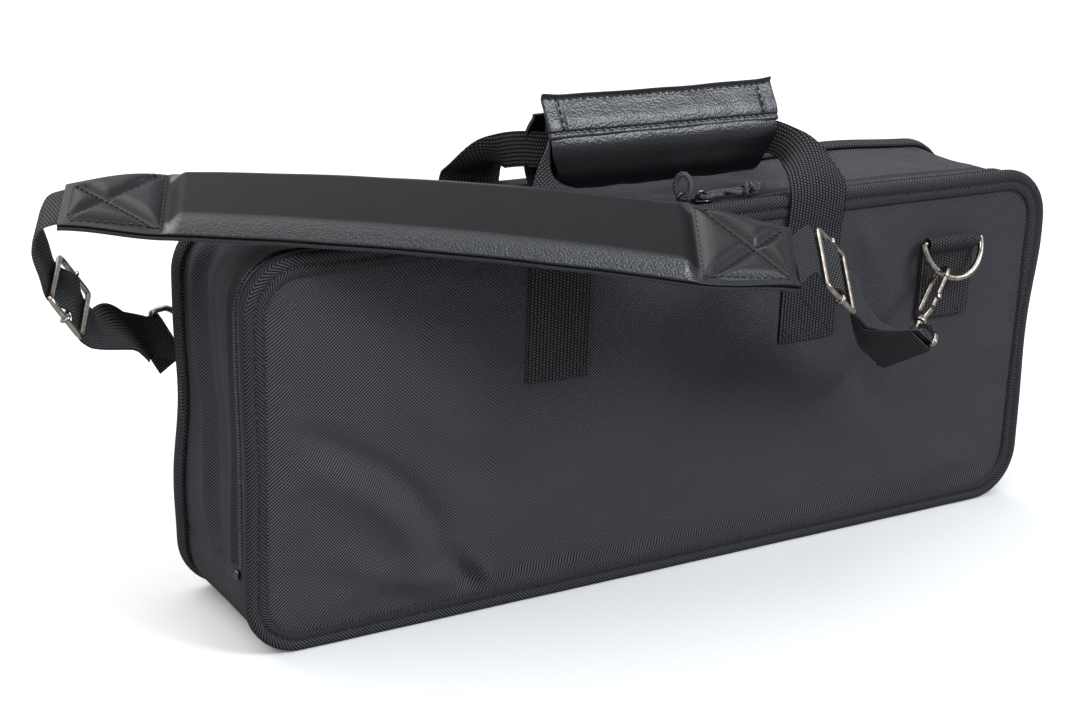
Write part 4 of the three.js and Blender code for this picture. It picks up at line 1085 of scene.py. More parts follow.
def make_grip():
    """The leatherette wrap, its stitched flap and the strips that close it."""
    route = through([(y, z, 0) for y, z in GRIP_FRONT + GRIP_BACK], 40)[:, :2]
    xs = np.linspace(-1, 1, 49)
    grid = np.zeros((len(xs), len(route), 3))
    for i, s in enumerate(xs):
        for j, (y, z) in enumerate(route):
            front = float(smooth(-y, 0, 14)) * float(smooth(262 - z, 0, 6))
            half = 76.5 - 7.5 * front * float(smooth(258 - z, 4, 30))
            near_end = abs(s) ** 6
            wave = 0.8 * ripple(s * 75, y, z, 18, 2.2) - 1.2 * front * near_end \
                + 0.9 * front * float(hump(z, 252, 4)) - 0.8 * front * float(hump(z, 241, 6))
            mid = vec(0, -6.5, 246)
            out = unit(vec(0, y, z) - mid)
            grid[i, j] = vec(s * half, y, z) + out * (wave - 0.9)
    middle = grid.mean(axis=(0, 1))
    du, dv = np.gradient(grid, axis=0), np.gradient(grid, axis=1)
    normals = np.cross(du, dv)
    normals /= np.linalg.norm(normals, axis=2)[:, :, None]
    if ((grid - middle) * normals).sum() < 0:
        normals = -normals
    grid += normals * 1.9
    wrap = sheet_piece("grip_leaf", grid, 2.2, normals)
    shine = smooth(grid[:, :, 2], 236, 258) * smooth(-grid[:, :, 1], 6, 18)
    marked(wrap, "polish", np.concatenate([shine.ravel(), shine.ravel()]))
    finish_piece(wrap, grip_leather, "front_handle_loop", ["grip_wrap"])

    flap_route = through([(-21.6, 256.6, 0), (-20.3, 259.4, 0), (-18.6, 262, 0), (-16.4, 265.6, 0),
                          (-13.8, 270, 0), (-12.0, 274.6, 0), (-11.2, 279.8, 0)], 34)[:, :2]
    rows = []
    xs = np.linspace(-78, 78, 105)
    for x in xs:
        row = []
        for j, (y, z) in enumerate(flap_route):
            t = j / (len(flap_route) - 1)
            seams = 1 - 0.5 * float(hump(abs(x), 68, 1.1)) - 0.8 * float(hump(t, 0.87, 0.035)) \
                - 0.9 * float(hump(t, 0.13, 0.035))
            puff = (2.6 * math.sin(math.pi * min(t / 0.9, 1)) + 0.8 * float(smooth(t, 0.9, 0.97))) * seams
            puff += 0.45 * ripple(x, 0, z, 16, 3.8) + 0.12 * ripple(x, 0, z, 5, 9.1)
            sag = -0.9 * (1 - (x / 78) ** 2) + 0.6 * ripple(x, 0, z, 30, 6.6)
            tip = 0.9 * float(smooth(abs(x), 66, 78)) * t
            row.append(vec(x, y - puff, z + (sag + tip) * t + 0.25 * (1 - t) * ripple(x, 3, 0, 9, 2.8)))
        rows.append(row)
    grid = np.array(rows)
    facing = np.broadcast_to(unit(vec(0, -0.92, 0.38)), grid.shape)
    flap = sheet_piece("grip_flap_leaf", grid, 2.2, facing)
    marked(flap, "polish", np.ones(2 * grid.shape[0] * grid.shape[1]))
    finish_piece(smoothed(flap), grip_leather, "grip_closure", ["grip_flap"])

    def on_flap(x, t):
        i = (x + 78) / 156 * (len(xs) - 1)
        j = t * (len(flap_route) - 1)
        a, b = int(min(i, len(xs) - 2)), int(min(j, len(flap_route) - 2))
        p = grid[a, b] + (grid[a + 1, b] - grid[a, b]) * (i - a) + (grid[a, b + 1] - grid[a, b]) * (j - b)
        return p + vec(0, -0.5, 0.2)

    facing = unit(vec(0, -0.92, 0.38))
    rows = [([on_flap(x, 0.87) for x in np.linspace(-75, 75, 60)], facing),
            ([on_flap(-68, t) for t in np.linspace(0.13, 0.87, 14)], facing),
            ([on_flap(68, t) for t in np.linspace(0.13, 0.87, 14)], facing)]
    stitches("grip_flap_stitches", rows, dark_thread, "grip_closure",
             length=3.0, pitch=4.4, wide=0.42)
    stitches("grip_seam_stitches", [([on_flap(x, 0.13) for x in np.linspace(-75, 75, 60)], facing)],
             thread, "grip_closure", length=3.0, pitch=4.4, wide=0.42)

    hook = panel_strip("grip_hook_strip", -70, 70, -9.9, 265.4, 275.8, 1.1)
    finish_piece(hook, hook_fuzz, "grip_closure", ["grip_hook_tape"])
    loop = panel_strip("grip_loop_strip", -70, 70, -4.1, 256.2, 267.4, 1.0)
    finish_piece(loop, hook_fuzz, "front_handle_loop", ["grip_loop_tape"])


def panel_strip(name, x0, x1, y, z0, z1, thick):
    """A short strip of hook or loop tape, standing in XZ, with a slightly uneven nap."""
    grid = np.array([[vec(x, y + 0.12 * ripple(x, 0, z, 5, 1.7), z) for z in np.linspace(z0, z1, 9)]
                     for x in np.linspace(x0, x1, 71)])
    return sheet_piece(name, grid, thick, np.broadcast_to(vec(0, -1, 0), grid.shape))


# the shoulder pad

PAD_POINTS = (vec(-337, 18, 235.5), vec(-168, -58, 230.5), vec(3, -138, 210))
PAD_TILTS = (0.18, 0.32, 0.44)
PAD_LENGTH, PAD_BOX = 375, 0.14  # the pad's length, and the share of it that each quilted end box takes


def pad_frame(share):
    """The pad's middle line at a share of its length, and the ways along, across and out of it."""
    weights = ((1 - share) * (1 - 2 * share), 4 * share * (1 - share), share * (2 * share - 1))
    slopes = (4 * share - 3, 4 - 8 * share, 4 * share - 1)
    place = sum(w * p for w, p in zip(weights, PAD_POINTS))
    along = unit(sum(w * p for w, p in zip(slopes, PAD_POINTS)))
    level = unit(np.cross(along, UP))
    up = unit(np.cross(level, along))
    tilt = sum(w * t for w, t in zip(weights, PAD_TILTS))
    across = level * math.cos(tilt) - up * math.sin(tilt)
    return place, along, across, unit(np.cross(across, along))


def pad_half(share):
    """Half of the pad's breadth at a share of its length: it narrows along both end boxes."""
    full = min(share / PAD_BOX, (1 - share) / PAD_BOX, 1)
    return (49 + 18 * float(smooth(full, 0.0, 1.0))) / 2


def pad_waver(share):
    """How far the pad's edges wander from their smooth line."""
    return 0.5 * ripple(share * PAD_LENGTH, 0, 0, 30, 8.8)


def pad_height(share, a):
    """The pad's upper face above its under skin: flat, bevelled at both edges, quilted at both ends."""
    wide = pad_half(share)
    edge = (1 - abs(a)) * wide
    end = share if share < 0.5 else 1 - share
    if end > PAD_BOX:
        seam = float(smooth((end - PAD_BOX) * PAD_LENGTH, 0, 9))
        bevel = min(edge / 10.5, 1.0)
        rounded = bevel * (1.25 - 0.25 * bevel)
        lift = 2.2 + 5.4 * rounded * seam + 1.5 * (1 - a * a) * seam
        return lift + 0.22 * ripple(share * PAD_LENGTH, a * 30, 0, 22, 5.1) * rounded * seam
    t = end / PAD_BOX
    box_length = PAD_BOX * PAD_LENGTH
    rim = min(edge / 2.4, 1.0) * min(t * box_length / 2.4, 1.0)
    diagonal = box_diagonal(t)
    near = min(abs(a - diagonal), abs(a + diagonal)) * wide / 1.35
    near = min(near, (1 - t) * box_length, max(edge - 3.4, 0) + 0.5, max(t * box_length - 3.4, 0) + 0.5)
    curl = 2.6 * float(smooth(-a, 0.55, 1.0)) * math.sin(math.pi * min(t, 1.0)) if share < 0.5 else \
        1.8 * float(smooth(a, 0.6, 1.0)) * float(smooth(1 - t, 0.4, 1.0))
    return 1.3 + 0.7 * rim + 4.6 * (1 - math.exp(-(max(near, 0) / 3.8) ** 1.5)) + curl


def box_diagonal(t):
    """Where a straight seam from corner to corner of an end box lies across it, from -1 to 1."""
    low, high = 24.5, 33.5
    half = low + (high - low) * float(smooth(t, 0, 1))
    return max(min((-low + (low + high) * t) / half, 1.0), -1.0)


def make_pad():
    """The shoulder pad's cover and under side, and its stitches."""
    shares = np.concatenate([
        np.linspace(0, 0.142, 34), np.linspace(0.146, 0.17, 8), np.linspace(0.18, 0.82, 90),
        np.linspace(0.83, 0.854, 8), np.linspace(0.858, 1, 34)])
    cross = np.concatenate([[-1, -0.985, -0.96], np.linspace(-0.93, 0.93, 39), [0.96, 0.985, 1]])
    rings = []
    for s in shares:
        place, _, across, out = pad_frame(s)
        w = pad_half(s) + pad_waver(s)
        top = [place + across * (a * w) + out * pad_height(s, a) for a in cross]
        low = [place + across * (a * (w - 0.4)) + out * 0.35 for a in np.linspace(1, -1, 15)]
        rings.append(top + low)
    cover = skin("pad_cushion", rings)
    shine = []
    for s in shares:
        end = min(s, 1 - s)
        for a in cross:
            edge = (1 - abs(a)) * pad_half(s)
            bevel = 1 - float(smooth(edge, 8.0, 12.5))
            if end < PAD_BOX:
                bevel = 0.4 if s > 0.5 else 0.25
            shine.append(bevel)
        shine += [0.6] + [0.0] * 13 + [0.6]
    marked(cover, "polish", shine)
    finish_piece(smoothed(cover), pad_leather, "shoulder_strap", ["pad_cover", "pad_foam"],
                 angle=70)
    rings = []
    for s in np.linspace(-0.002, 1.002, 90):
        on = min(max(s, 0), 1)
        place, _, across, out = pad_frame(on)
        w = pad_half(on) + pad_waver(s) + 0.5
        top = [place + across * (a * w) for a in np.linspace(-1, 1, 13)]
        low = [place + across * (a * (w - 0.3)) - out * (1.5 + 0.6 * (1 - a * a))
               for a in np.linspace(1, -1, 13)]
        rings.append(top + low)
    under = skin("pad_under_side", rings)
    finish_piece(under, under_cloth, "shoulder_strap", ["pad_under_skin"], angle=50)

    def on_pad(s, a):
        place, _, across, out = pad_frame(s)
        return place + across * (a * pad_half(s)) + out * (pad_height(s, a) + 0.12), out

    rows = []
    for flip in (False, True):
        def at(t, a):
            end = 0.004 + t * (PAD_BOX - 0.008)
            return on_pad(1 - end if flip else end, a)
        edges = [[(t, side) for t in np.linspace(0.07, 1, 30)] for side in (0.88, -0.88)]
        edges.append([(0.065, a) for a in np.linspace(-0.9, 0.9, 20)])
        edges.append([(1.0, a) for a in np.linspace(-0.96, 0.96, 24)])
        crosses = [[(t, way * box_diagonal(t)) for t in np.linspace(0.07, 0.95, 34)] for way in (1, -1)]
        for lines, lift in ((edges, 0.1), (crosses, 0.7)):
            for line in lines:
                points = [at(t, a * 0.96) for t, a in line]
                rows.append(([p + n * lift for p, n in points], np.array([n for _, n in points])))
    stitches("pad_stitches", rows, dark_thread, "shoulder_strap",
             length=2.9, pitch=4.0, wide=0.5, sink=0.2)


# metal and cords, on routes that follow those of the solids

def wire_piece(name, points, thick, finish=None, body=None, nodes=(), closed=False, count=None):
    """Bent wire: a smooth curve through its bends, given its thickness and made a mesh."""
    line = through(points, count or 8 * len(points), closed)
    bpy.ops.object.select_all(action="DESELECT")
    bpy.ops.curve.primitive_nurbs_path_add(location=(0, 0, 0))
    piece = bpy.context.active_object
    piece.name = name
    shape = piece.data
    shape.splines.clear()
    spline = shape.splines.new("POLY")
    spline.points.add(len(line) - 1)
    for point, place in zip(spline.points, line * MM):
        point.co = (*place, 1)
    spline.use_cyclic_u = closed
    spline.use_smooth = True
    shape.dimensions = "3D"
    shape.bevel_depth = thick / 2 * MM
    shape.bevel_resolution = 4
    shape.use_fill_caps = not closed
    bpy.ops.object.convert(target="MESH")
    piece = bpy.context.active_object
    piece.name = name
    piece.data.name = name
    return finish_piece(piece, finish, body, nodes) if finish else piece


def turned_piece(name, profile, start, way):
    """A turned part: its profile of places along and out from its axis, spun round."""
    way = unit(np.asarray(way, float))
    line = [np.asarray(start, float) + way * a for a, _ in profile]
    rings = tube_rings(np.array(line), np.array([r for _, r in profile]), 20)
    return skin(name, rings)


# The wire parts' sizes: rings, snap hooks with their swivel eyes, and adjusters. The webbing's
# thickness is that of the solids, which sets how far it stands off the wires.
GAP, RUN_GAP, WEBBING_THICK = 0.3, 0.35, 1.4
RING_X, RING_Z, RING_INNER, RING_WIRE, RING_STAND = 191.0, 180.0, 20.8, 4.0, 5.8
RING_LEAN = math.radians(22)
HOOK_WIRE, HOOK_BEND, HOOK_NECK, HOOK_COLLAR, GATE_WIRE = 3.4, 6.0, 37.0, 39.0, 2.8
EYE_WIRE, EYE_HALF, EYE_NECK, EYE_SHOULDER = 3.4, 22.6, 4.0, 9.0
SLIDE_WIRE, SLIDE_HALF, SLIDE_RUN, SLIDE_CORNER, SLIDE_BAR = 3.2, 24.0, 12.5, 3.2, 2.6
SLIDE_CLEAR = SLIDE_WIRE / 2 + RUN_GAP + 1.1  # from the middle of the frame's wire to the end of the bar
CLASP_RADIUS, CLASP_WIRE = 2.15, 1.9
SIDES = {"front": -1, "rear": 1}
# Where each ring's wire takes the pull, where the strap goes round each eye, and the eye's turn on its hook
PULL_ANGLES = {"front": math.radians(235.5), "rear": math.radians(205)}
EYE_BARS = {"front": vec(130, -91, 126.5), "rear": vec(-265, 69, 142)}
EYE_TURNS = {"front": 0.0, "rear": math.radians(90)}
SLIDES = {"front": vec(50, -116, 193), "rear": vec(-335, 17, 189)}
REAR_WAY_OUT = vec(-318, 28, 174)  # what the rear adjuster points at
REAR_WAY_IN = vec(-283, 63, 149)   # where the webbing comes from as it meets the rear eye
WEAVE_SHARES = ((-1.7, -0.6), (-1, -1), (-0.5, -0.2), (0, 1), (0.5, -0.2), (1, -1), (1.7, -0.6))


def square_to(direction, across):
    return unit(direction - across * (direction @ across))


def ring_frame(label):
    """The middle of a ring's bar, and the way up along the leaning ring."""
    side = SIDES[label]
    middle = vec(-side * RING_X, side * (PANEL_FACES[side] + RING_STAND), RING_Z)
    return middle, vec(0, -side * math.sin(RING_LEAN), math.cos(RING_LEAN))


def ring_place(label, angle):
    middle, up = ring_frame(label)
    radius = RING_INNER + RING_WIRE / 2
    return middle + vec(math.cos(angle) * radius, 0, 0) + up * math.sin(angle) * radius


def hook_frame(label):
    """A snap hook's origin in its bend, and the ways along and across it."""
    angle = PULL_ANGLES[label]
    contact = ring_place(label, angle)
    heading = ring_frame(label)[1] * math.cos(angle) - vec(math.sin(angle), 0, 0)
    along = unit(EYE_BARS[label] - contact)
    across = unit(np.cross(square_to(heading, along), along))
    return contact + along * (HOOK_BEND - HOOK_WIRE / 2 - RING_WIRE / 2 - RUN_GAP), along, across


def eye_across(label):
    """The way along a swivel eye's bar."""
    _, along, across = hook_frame(label)
    turn = EYE_TURNS[label]
    return across * math.cos(turn) + np.cross(along, across) * math.sin(turn)


def eye_places(label):
    """A swivel eye's wire: a bar for the strap, two cheeks, and a throat at the hook's neck."""
    origin, along, _ = hook_frame(label)
    shoulder = HOOK_COLLAR + RUN_GAP + EYE_NECK
    bar = along @ (EYE_BARS[label] - origin)
    cheek = [(bar, 0.5), (bar, 1), (bar - 0.6 * EYE_SHOULDER, 0.98), (bar - EYE_SHOULDER, 0.86),
             (shoulder + 0.4 * EYE_SHOULDER, 0.5), (shoulder, 0.18)]
    places = [(bar, 0)] + cheek + [(u, -share) for u, share in reversed(cheek)]
    return [origin + along * u + eye_across(label) * share * EYE_HALF for u, share in places]


def slide_frame(label):
    """An adjuster's middle, the way that webbing runs through it, and the way across."""
    centre = SLIDES[label]
    place, along, across, _ = pad_frame(1 if label == "front" else 0)
    runs = centre - place - along * 2 * GAP if label == "front" else REAR_WAY_OUT - centre
    return centre, square_to(runs, across), across


def slide_places(label):
    """An adjuster's wire: a rectangle with cut corners."""
    centre, along, across = slide_frame(label)
    cut = 0.3 * SLIDE_CORNER
    places = []
    for a, b in ((-1, -1), (1, -1), (1, 1), (-1, 1)):
        turn = [(a * SLIDE_RUN, b * (SLIDE_HALF - SLIDE_CORNER)),
                (a * (SLIDE_RUN - cut), b * (SLIDE_HALF - cut)),
                (a * (SLIDE_RUN - SLIDE_CORNER), b * SLIDE_HALF)]
        places += turn + [(0, b * SLIDE_HALF)] if a == b else turn[::-1] + [(a * SLIDE_RUN, 0)]
    return [centre + along * u + across * v for u, v in places]


def weave(label):
    """The webbing's way through an adjuster: under one side, over the bar, under the other."""
    centre, along, across = slide_frame(label)
    lift = unit(np.cross(across, along))
    clear = SLIDE_WIRE / 2 + RUN_GAP + WEBBING_THICK / 2
    return [centre + along * run * SLIDE_RUN + lift * rise * clear for run, rise in WEAVE_SHARES]


def round_eye(label, start):
    """The webbing's half turn round a swivel eye's bar, the way it heads there, and the way across it."""
    hold = eye_across(label)
    across = -SIDES[label] * np.sign(hold @ slide_frame(label)[2]) * hold
    heading = square_to(EYE_BARS[label] - start, across)
    aside = unit(np.cross(across, heading))
    radius = EYE_WIRE / 2 + RUN_GAP + WEBBING_THICK / 2
    turns = [math.pi * (0.5 - share) for share in (0, 0.25, 0.375, 0.5, 0.75, 1)]
    half_turn = [EYE_BARS[label] + (aside * math.sin(t) + heading * math.cos(t)) * radius for t in turns]
    return half_turn, heading, across


def make_hook_piece(label):
    """A snap hook: its bent body, its gate and its swivel eye."""
    origin, along, across = hook_frame(label)

    def spot(u, v):
        return origin + along * u + across * v

    diagonal = HOOK_BEND * math.sqrt(0.5)
    straight = [spot(u, HOOK_BEND) for u in (26, 16, 6, 0)]
    bend = [spot(HOOK_NECK, 0), spot(34.5, 1.2), spot(30, 4.6), *straight, spot(-diagonal, diagonal),
            spot(-HOOK_BEND, 0), spot(-diagonal, -diagonal), spot(0, -HOOK_BEND), spot(3, -HOOK_BEND)]
    spine = wire_piece(f"{label}_hook_body", bend, HOOK_WIRE, count=72)
    collar = turned_piece("collar", [(-4.4, 1.6), (-4.2, 2.9), (-3.2, 3.7), (-2.4, 3.8), (-1.9, 3.3),
                                     (-1.4, 3.3), (-0.9, 3.8), (-0.2, 3.7), (0, 3.2)],
                          spot(HOOK_COLLAR, 0), along)
    lug = wire_piece("lug", [spot(HOOK_NECK, 0), spot(34, -HOOK_BEND / 2), spot(30, -HOOK_BEND)], HOOK_WIRE)
    body = joined(f"{label}_hook_body", [spine, collar, lug])
    finish_piece(body, bright_metal, f"{label}_snap_hook", [f"{label}_hook"])
    gate = wire_piece(f"{label}_gate_bar", [spot(u, -HOOK_BEND) for u in (3.6, 16, 28)], GATE_WIRE)
    knob = turned_piece("knob", [(-1.8, 0.6), (-1.6, 1.6), (-0.6, 2.0), (0.6, 2.0), (1.6, 1.6), (1.8, 0.6)],
                        spot(20, -7.2), -across)
    finish_piece(joined(f"{label}_gate_bar", [gate, knob]), bright_metal, f"{label}_gate",
                 [f"{label}_hook_gate"])
    eye = wire_piece(f"{label}_eye_loop", eye_places(label), EYE_WIRE, closed=True, count=110)
    neck = turned_piece("neck", [(0.2, 1.4), (0.5, 2.7), (3.2, 2.7), (4.2, 3.0), (5.4, 2.4)],
                        spot(HOOK_COLLAR + 0.2, 0), along)
    finish_piece(joined(f"{label}_eye_loop", [eye, neck]), bright_metal, f"{label}_eye",
                 [f"{label}_swivel_eye"])


def make_metal():
    """Rings, snap hooks and wire adjusters."""
    for label in ("front", "rear"):
        ring = [ring_place(label, math.pi * (1 + i / 16)) for i in range(17)]
        wire_piece(f"{label}_dee", ring, RING_WIRE, bright_metal, f"{label}_ring",
                   [f"{label}_d_ring"], count=90)
        wire_piece(f"{label}_dee_bar", [ring[0], ring[-1]], RING_WIRE, bright_metal, f"{label}_ring",
                   count=12)
        make_hook_piece(label)
        wire_piece(f"{label}_slide_frame", slide_places(label), SLIDE_WIRE, bright_metal, "shoulder_strap",
                   [f"{label}_adjuster_frame"], closed=True, count=130)
        centre, travel, across = slide_frame(label)
        reach = across * (SLIDE_HALF - SLIDE_CLEAR)
        bar = wire_piece(f"{label}_slide_bar_rod", [centre - reach, centre, centre + reach], SLIDE_BAR)
        aside = unit(np.cross(across, travel))
        clasps = []
        for end in (-SLIDE_HALF, SLIDE_HALF):
            clasp = [centre + across * end + CLASP_RADIUS * (math.cos(t) * across + math.sin(t) * aside)
                     for t in np.linspace(0, 2 * math.pi, 14, endpoint=False)]
            clasps.append(wire_piece("clasp", clasp, CLASP_WIRE, closed=True, count=28))
        finish_piece(joined(f"{label}_slide_bar_rod", [bar] + clasps), bright_metal, f"{label}_slide_bar",
                     [f"{label}_adjuster_bar"])


def make_ring_tabs():
    """Webbing folded over each ring's bar and sewn flat to its panel."""
    for side, label, body, x in ((-1, "front", "lid", 191), (1, "rear", "case", -191)):
        surface = PANEL_FACES[side]
        over = [(side * (surface + 5.8 + 3.25 * math.cos(t)), 180 + 3.25 * math.sin(t))
                for t in np.radians(np.linspace(-10, 215, 16))]
        front_leaf = [(side * (surface + 2.3), z) for z in (132, 145, 158, 168, 172)] + [
            (side * (surface + 3.6), 174.2), (side * (surface + 6.6), 175.6)]
        back_leaf = [(side * (surface + 1.9), 178), (side * (surface + 0.8), 173)] + [
            (side * (surface + 0.75), z) for z in (160, 145, 131.4)]
        route = [(x, y, z) for y, z in front_leaf + over + back_leaf]
        line = through(route, 90)
        piece = band(f"{label}_ring_webbing", line, vec(1, 0, 0), WEBBING, TAB_THICK)
        finish_piece(piece, webbing_cloth, body, [f"{label}_ring_tab"])

        def spot(across, z):
            return vec(x + across, side * (surface + 3.08), z)

        rows = crossed_box(17, 134.5, 168, spot, vec(0, side, 0), 14, 14)
        stitches(f"{label}_ring_stitches", rows, dark_thread, body, length=2.3, pitch=3.2, wide=0.36)


def braid(name, line, radius, strands, twist, closed=False):
    """Strands laid round each other along a line, twisted some number of turns."""
    pieces = []
    for strand in range(strands):
        start = 2 * math.pi * strand / strands
        path = []
        for i, (p, (side, other)) in enumerate(zip(line, carried(line, closed))):
            t = start + 2 * math.pi * twist * i / (len(line) - (0 if closed else 1))
            path.append(p + radius * 0.52 * (math.cos(t) * side + math.sin(t) * other))
        rings = tube_rings(np.array(path), radius * 0.56, 7, closed)
        pieces.append(skin(f"{name}_{strand}", rings, loop=closed))
    return joined(name, pieces)


def make_sliders_and_pulls():
    """The two sliders, the standing loop on the left one and the knotted pull on the right one."""
    y = -33.45  # the depth of the zip's line
    for x, side in ((3.5, "left"), (16.5, "right")):
        make_slider(x, y, side)
    loop = []
    for t in np.linspace(0, 2 * math.pi, 14, endpoint=False):
        wide = 4.4 * math.cos(t) * (1 - 0.25 * float(smooth(-math.sin(t), 0.2, 1)))
        loop.append((3.7 - 0.62 * wide, y + 0.78 * wide, 226.1 + 7.0 * math.sin(t)))
    standing = braid("left_pull_cord", through(loop, 72, True), 1.55, 3, 5, closed=True)
    finish_piece(standing, cord_braid, "left_pull", ["zip_pull_left"])
    eye = [(19.8 + 3.3 * math.cos(t), y + 4.1 * math.sin(t), 219.2)
           for t in np.linspace(0, 2 * math.pi, 12, endpoint=False)]
    loop = braid("right_pull_eye", through(eye, 50, True), 1.35, 3, 4, closed=True)
    tails = []
    for turn in (-1, 1):
        route = [(22.0, y + 2.2 * turn, 219.3), (28, y + 1.5 * turn, 219.6 + 0.6 * turn),
                 (35, y - 1.2 * turn, 219.8 + 1.0 * turn), (42, y - 1.4 * turn, 219.6 - 0.8 * turn),
                 (48, y + 1.1 * turn, 219.6)]
        tails.append(braid(f"right_pull_tail_{turn}", through(route, 60), 1.5, 3, 6))
    knot_line = [(48.1 + 2.9 * math.cos(2 * t) + 0.8 * t, y + 3.1 * math.sin(3 * t),
                  220.4 + 3.0 * math.cos(3 * t)) for t in np.linspace(0, 2 * math.pi, 26)]
    knot = braid("right_pull_knot", through(knot_line, 110), 1.5, 2, 12)
    frays = []
    for i in range(9):
        turn = i * 2.4
        end = vec(56.6 - 0.35 * (i % 3), y + 2.4 * math.cos(turn), 219.2 + 2.2 * math.sin(turn))
        start = vec(52.4, y + 0.8 * math.cos(turn), 219.2 + 0.8 * math.sin(turn))
        line = through([start, (start + end) / 2 + vec(0, 0.3, 0.2), end], 8)
        frays.append(skin(f"fray_{i}", tube_rings(line, np.linspace(0.32, 0.12, 8), 5)))
    right = joined("right_pull_cord", [loop] + tails + [knot] + frays)
    finish_piece(right, cord_braid, "right_pull", ["zip_pull_right"])


def make_slider(x, y, side):
    """A zip slider: a waisted body with a raised bridge, bevelled as a casting is."""
    bpy.ops.object.select_all(action="DESELECT")
    bpy.ops.mesh.primitive_cube_add(size=1, location=(x * MM, y * MM, 216.45 * MM))
    piece = bpy.context.active_object
    piece.name = f"{side}_slider_body"
    piece.scale = (11 * MM, 8.8 * MM, 2.2 * MM)
    bpy.ops.object.transform_apply(location=True, rotation=True, scale=True)
    bpy.ops.object.mode_set(mode="EDIT")
    bpy.ops.mesh.select_all(action="SELECT")
    bpy.ops.mesh.subdivide(number_cuts=4)
    for share in (-1.0, -0.6, -0.2, 0.2, 0.6, 1.0):
        bpy.ops.mesh.select_all(action="DESELECT")
        bpy.ops.object.mode_set(mode="OBJECT")
        for v in piece.data.vertices:
            v.select = abs((v.co.x / MM - x) / 5.5 - share) < 0.1
        bpy.ops.object.mode_set(mode="EDIT")
        along = share if side == "left" else -share
        narrow = 1 - 0.34 * float(smooth(along, -0.2, 1.0)) - 0.12 * float(smooth(-along, 0.5, 1.0))
        bpy.ops.transform.resize(value=(1, narrow, 1), center_override=(x * MM, y * MM, 216.45 * MM))
    bpy.ops.object.mode_set(mode="OBJECT")
    edge = piece.modifiers.new("edge", "BEVEL")
    edge.width, edge.segments, edge.limit_method = 0.5 * MM, 2, "ANGLE"
    edge.angle_limit = math.radians(50)
    bpy.ops.object.modifier_apply(modifier=edge.name)
    rise = [(-2.75, 216.6), (-2.8, 218.4), (-2.4, 220.6), (-1.1, 221.8), (0, 221.9)]
    arch = rise + [(-across, z) for across, z in reversed(rise[:-1])]
    bridge = wire_piece("bridge", [(x + across, y, z) for across, z in arch], 2.1)
    finish_piece(joined(f"{side}_slider_body", [piece, bridge]), zip_metal, f"{side}_slider",
                 [f"zip_slider_{side}"])


def make_stops():
    """The zip's end stops, as rounded clips."""
    for side in ("left", "right"):
        lo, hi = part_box(f"zip_stop_{side}")
        bpy.ops.object.select_all(action="DESELECT")
        bpy.ops.mesh.primitive_cube_add(size=1, location=(lo + hi) / 2)
        piece = bpy.context.active_object
        piece.name = f"{side}_stop_clip"
        piece.scale = hi - lo
        bpy.ops.object.transform_apply(location=True, rotation=True, scale=True)
        edge = piece.modifiers.new("edge", "BEVEL")
        edge.width, edge.segments = 0.7 * MM, 3
        bpy.ops.object.modifier_apply(modifier=edge.name)
        finish_piece(piece, zip_metal, "case", [f"zip_stop_{side}"])


# the studio

def make_camera():
    """The place and turn of the camera, as in the photograph."""
    azimuth, elevation, roll = (math.radians(a) for a in (-31.56, 18.305, 2.08))
    back = Vector((math.sin(azimuth) * math.cos(elevation), -math.cos(azimuth) * math.cos(elevation),
                   math.sin(elevation)))
    right = (-back).cross(Vector((0, 0, 1))).normalized()
    up = right.cross(-back)
    turned = right * math.cos(roll) + up * math.sin(roll)
    upright = -right * math.sin(roll) + up * math.cos(roll)
    camera = bpy.data.objects.new("camera", bpy.data.cameras.new("camera"))
    bpy.context.scene.collection.objects.link(camera)
    aim, distance = Vector((-0.0967, -0.05, 0.142)), 1.066
    place = aim + back * distance
    turn = Matrix((turned, upright, back)).transposed().to_4x4()
    camera.matrix_world = Matrix.Translation(place) @ turn
    camera.data.sensor_width = 36
    camera.data.lens = 65.23
    camera.data.clip_start, camera.data.clip_end = 0.05, 20
    bpy.context.scene.camera = camera


def make_floor():
    """A floor that is white to the camera, and greyer in what it throws back onto the bag."""
    bpy.ops.object.select_all(action="DESELECT")
    bpy.ops.mesh.primitive_plane_add(size=12, location=(0, 0, -0.0004))
    floor = bpy.context.active_object
    floor.name = "studio_floor"
    white = bpy.data.materials.new("studio white")
    white.use_nodes = True
    tree = white.node_tree
    surface = tree.nodes["Principled BSDF"]
    surface.inputs["Roughness"].default_value = 0.9
    surface.inputs["Specular IOR Level"].default_value = 0.1
    seen = tree.nodes.new("ShaderNodeLightPath")
    surface.inputs["Emission Color"].default_value = (1, 1, 1, 1)
    glow = sum_of(tree, "MULTIPLY", seen.outputs["Is Camera Ray"], 0.07)
    tree.links.new(glow, surface.inputs["Emission Strength"])
    tone = tree.nodes.new("ShaderNodeCombineColor")
    seen_tone, thrown_tone = 0.97, 0.4
    pale = sum_of(tree, "MULTIPLY_ADD", seen.outputs["Is Camera Ray"], seen_tone - thrown_tone, thrown_tone)
    for channel in range(3):
        tree.links.new(pale, tone.inputs[channel])
    tree.links.new(tone.outputs[0], surface.inputs["Base Color"])
    floor.data.materials.append(white)


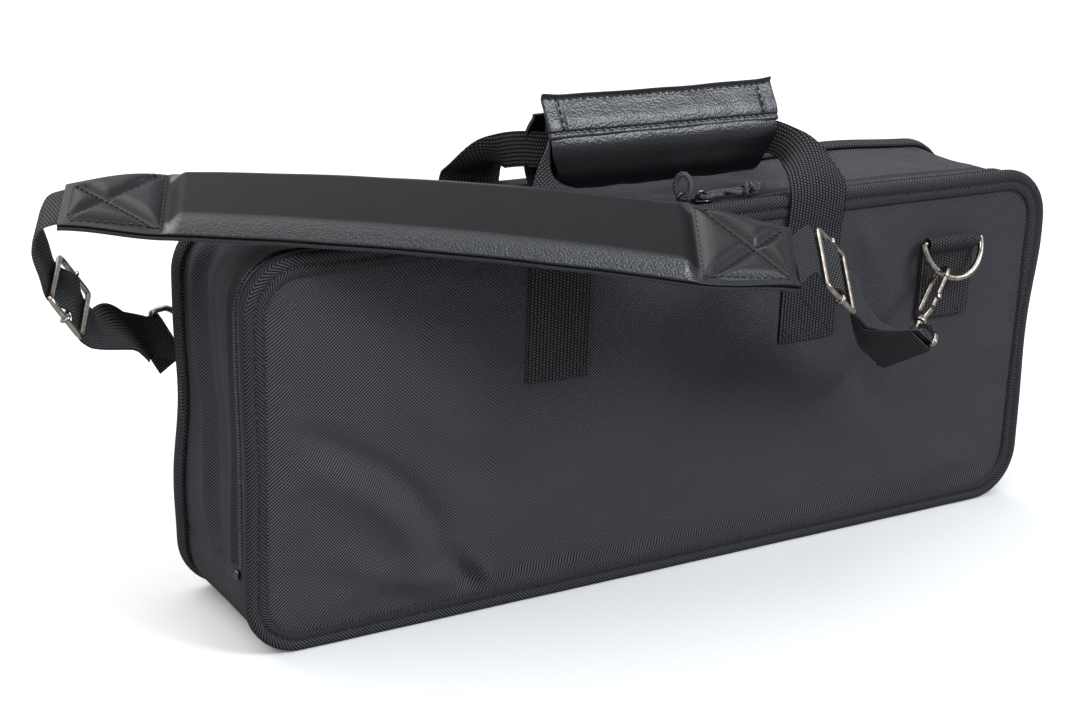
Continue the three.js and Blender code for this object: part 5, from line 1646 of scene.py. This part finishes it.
def make_world():
    """White where the camera looks, and dim where it lights the bag."""
    world = bpy.data.worlds.new("studio")
    bpy.context.scene.world = world
    world.use_nodes = True
    tree = world.node_tree
    backdrop = tree.nodes["Background"]
    light = tree.nodes.new("ShaderNodeBackground")
    light.inputs["Color"].default_value = (0.9, 0.94, 1, 1)
    backdrop.inputs["Color"].default_value = (1, 1, 1, 1)
    backdrop.inputs["Strength"].default_value = 1.0
    path = tree.nodes.new("ShaderNodeLightPath")
    mirrored, plain = 0.5, 0.12
    strength = sum_of(tree, "MULTIPLY_ADD", path.outputs["Is Glossy Ray"], mirrored - plain, plain)
    tree.links.new(strength, light.inputs["Strength"])
    either = sum_of(tree, "MAXIMUM", path.outputs["Is Camera Ray"], path.outputs["Is Transmission Ray"])
    mix = tree.nodes.new("ShaderNodeMixShader")
    tree.links.new(either, mix.inputs[0])
    tree.links.new(light.outputs[0], mix.inputs[1])
    tree.links.new(backdrop.outputs[0], mix.inputs[2])
    tree.links.new(mix.outputs[0], tree.nodes["World Output"].inputs[0])


def hang_lamp(lamp, way):
    """Places a lamp that shines a given way."""
    holder = bpy.data.objects.new(lamp.name, lamp)
    holder.rotation_euler = way.to_track_quat("-Z", "Y").to_euler()
    bpy.context.scene.collection.objects.link(holder)
    return holder


AREA_LAMPS = [("soft_left", (-1.7, -1.3, 1.5), 0.8, 14, (1, 1, 1)),
              ("soft_high", (0.45, -1.5, 1.95), 0.9, 11, (0.82, 0.9, 1))]
SUN_LAMPS = [("soft_overhead", (0.1, -0.25, -0.95), 70, 2.0, (1, 1, 1)),
             ("soft_back", (0.25, -0.75, -0.6), 50, 1.0, (1, 1, 1)),
             ("soft_right", (-0.5, 0.65, -0.57), 22, 1.75, (0.88, 0.93, 1))]
LAMP_AIM = Vector((-0.1, 0, 0.15))


def make_lamps():
    """Two soft lamps and three soft suns."""
    for name, place, size, power, tint in AREA_LAMPS:
        lamp = bpy.data.lights.new(name, "AREA")
        lamp.size, lamp.energy, lamp.color = size, power, tint
        hang_lamp(lamp, LAMP_AIM - Vector(place)).location = place
    for name, way, angle, strength, tint in SUN_LAMPS:
        lamp = bpy.data.lights.new(name, "SUN")
        lamp.angle, lamp.energy, lamp.color = math.radians(angle), strength, tint
        hang_lamp(lamp, Vector(way))


make_camera()
make_floor()
make_world()
make_lamps()
bpy.context.scene.view_settings.view_transform = "Standard"
make_panels()
make_edgings()
make_walls()
make_strap_webbing()
make_handles()
make_grip()
make_pad()
make_metal()
make_ring_tabs()
make_sliders_and_pulls()
make_stops()
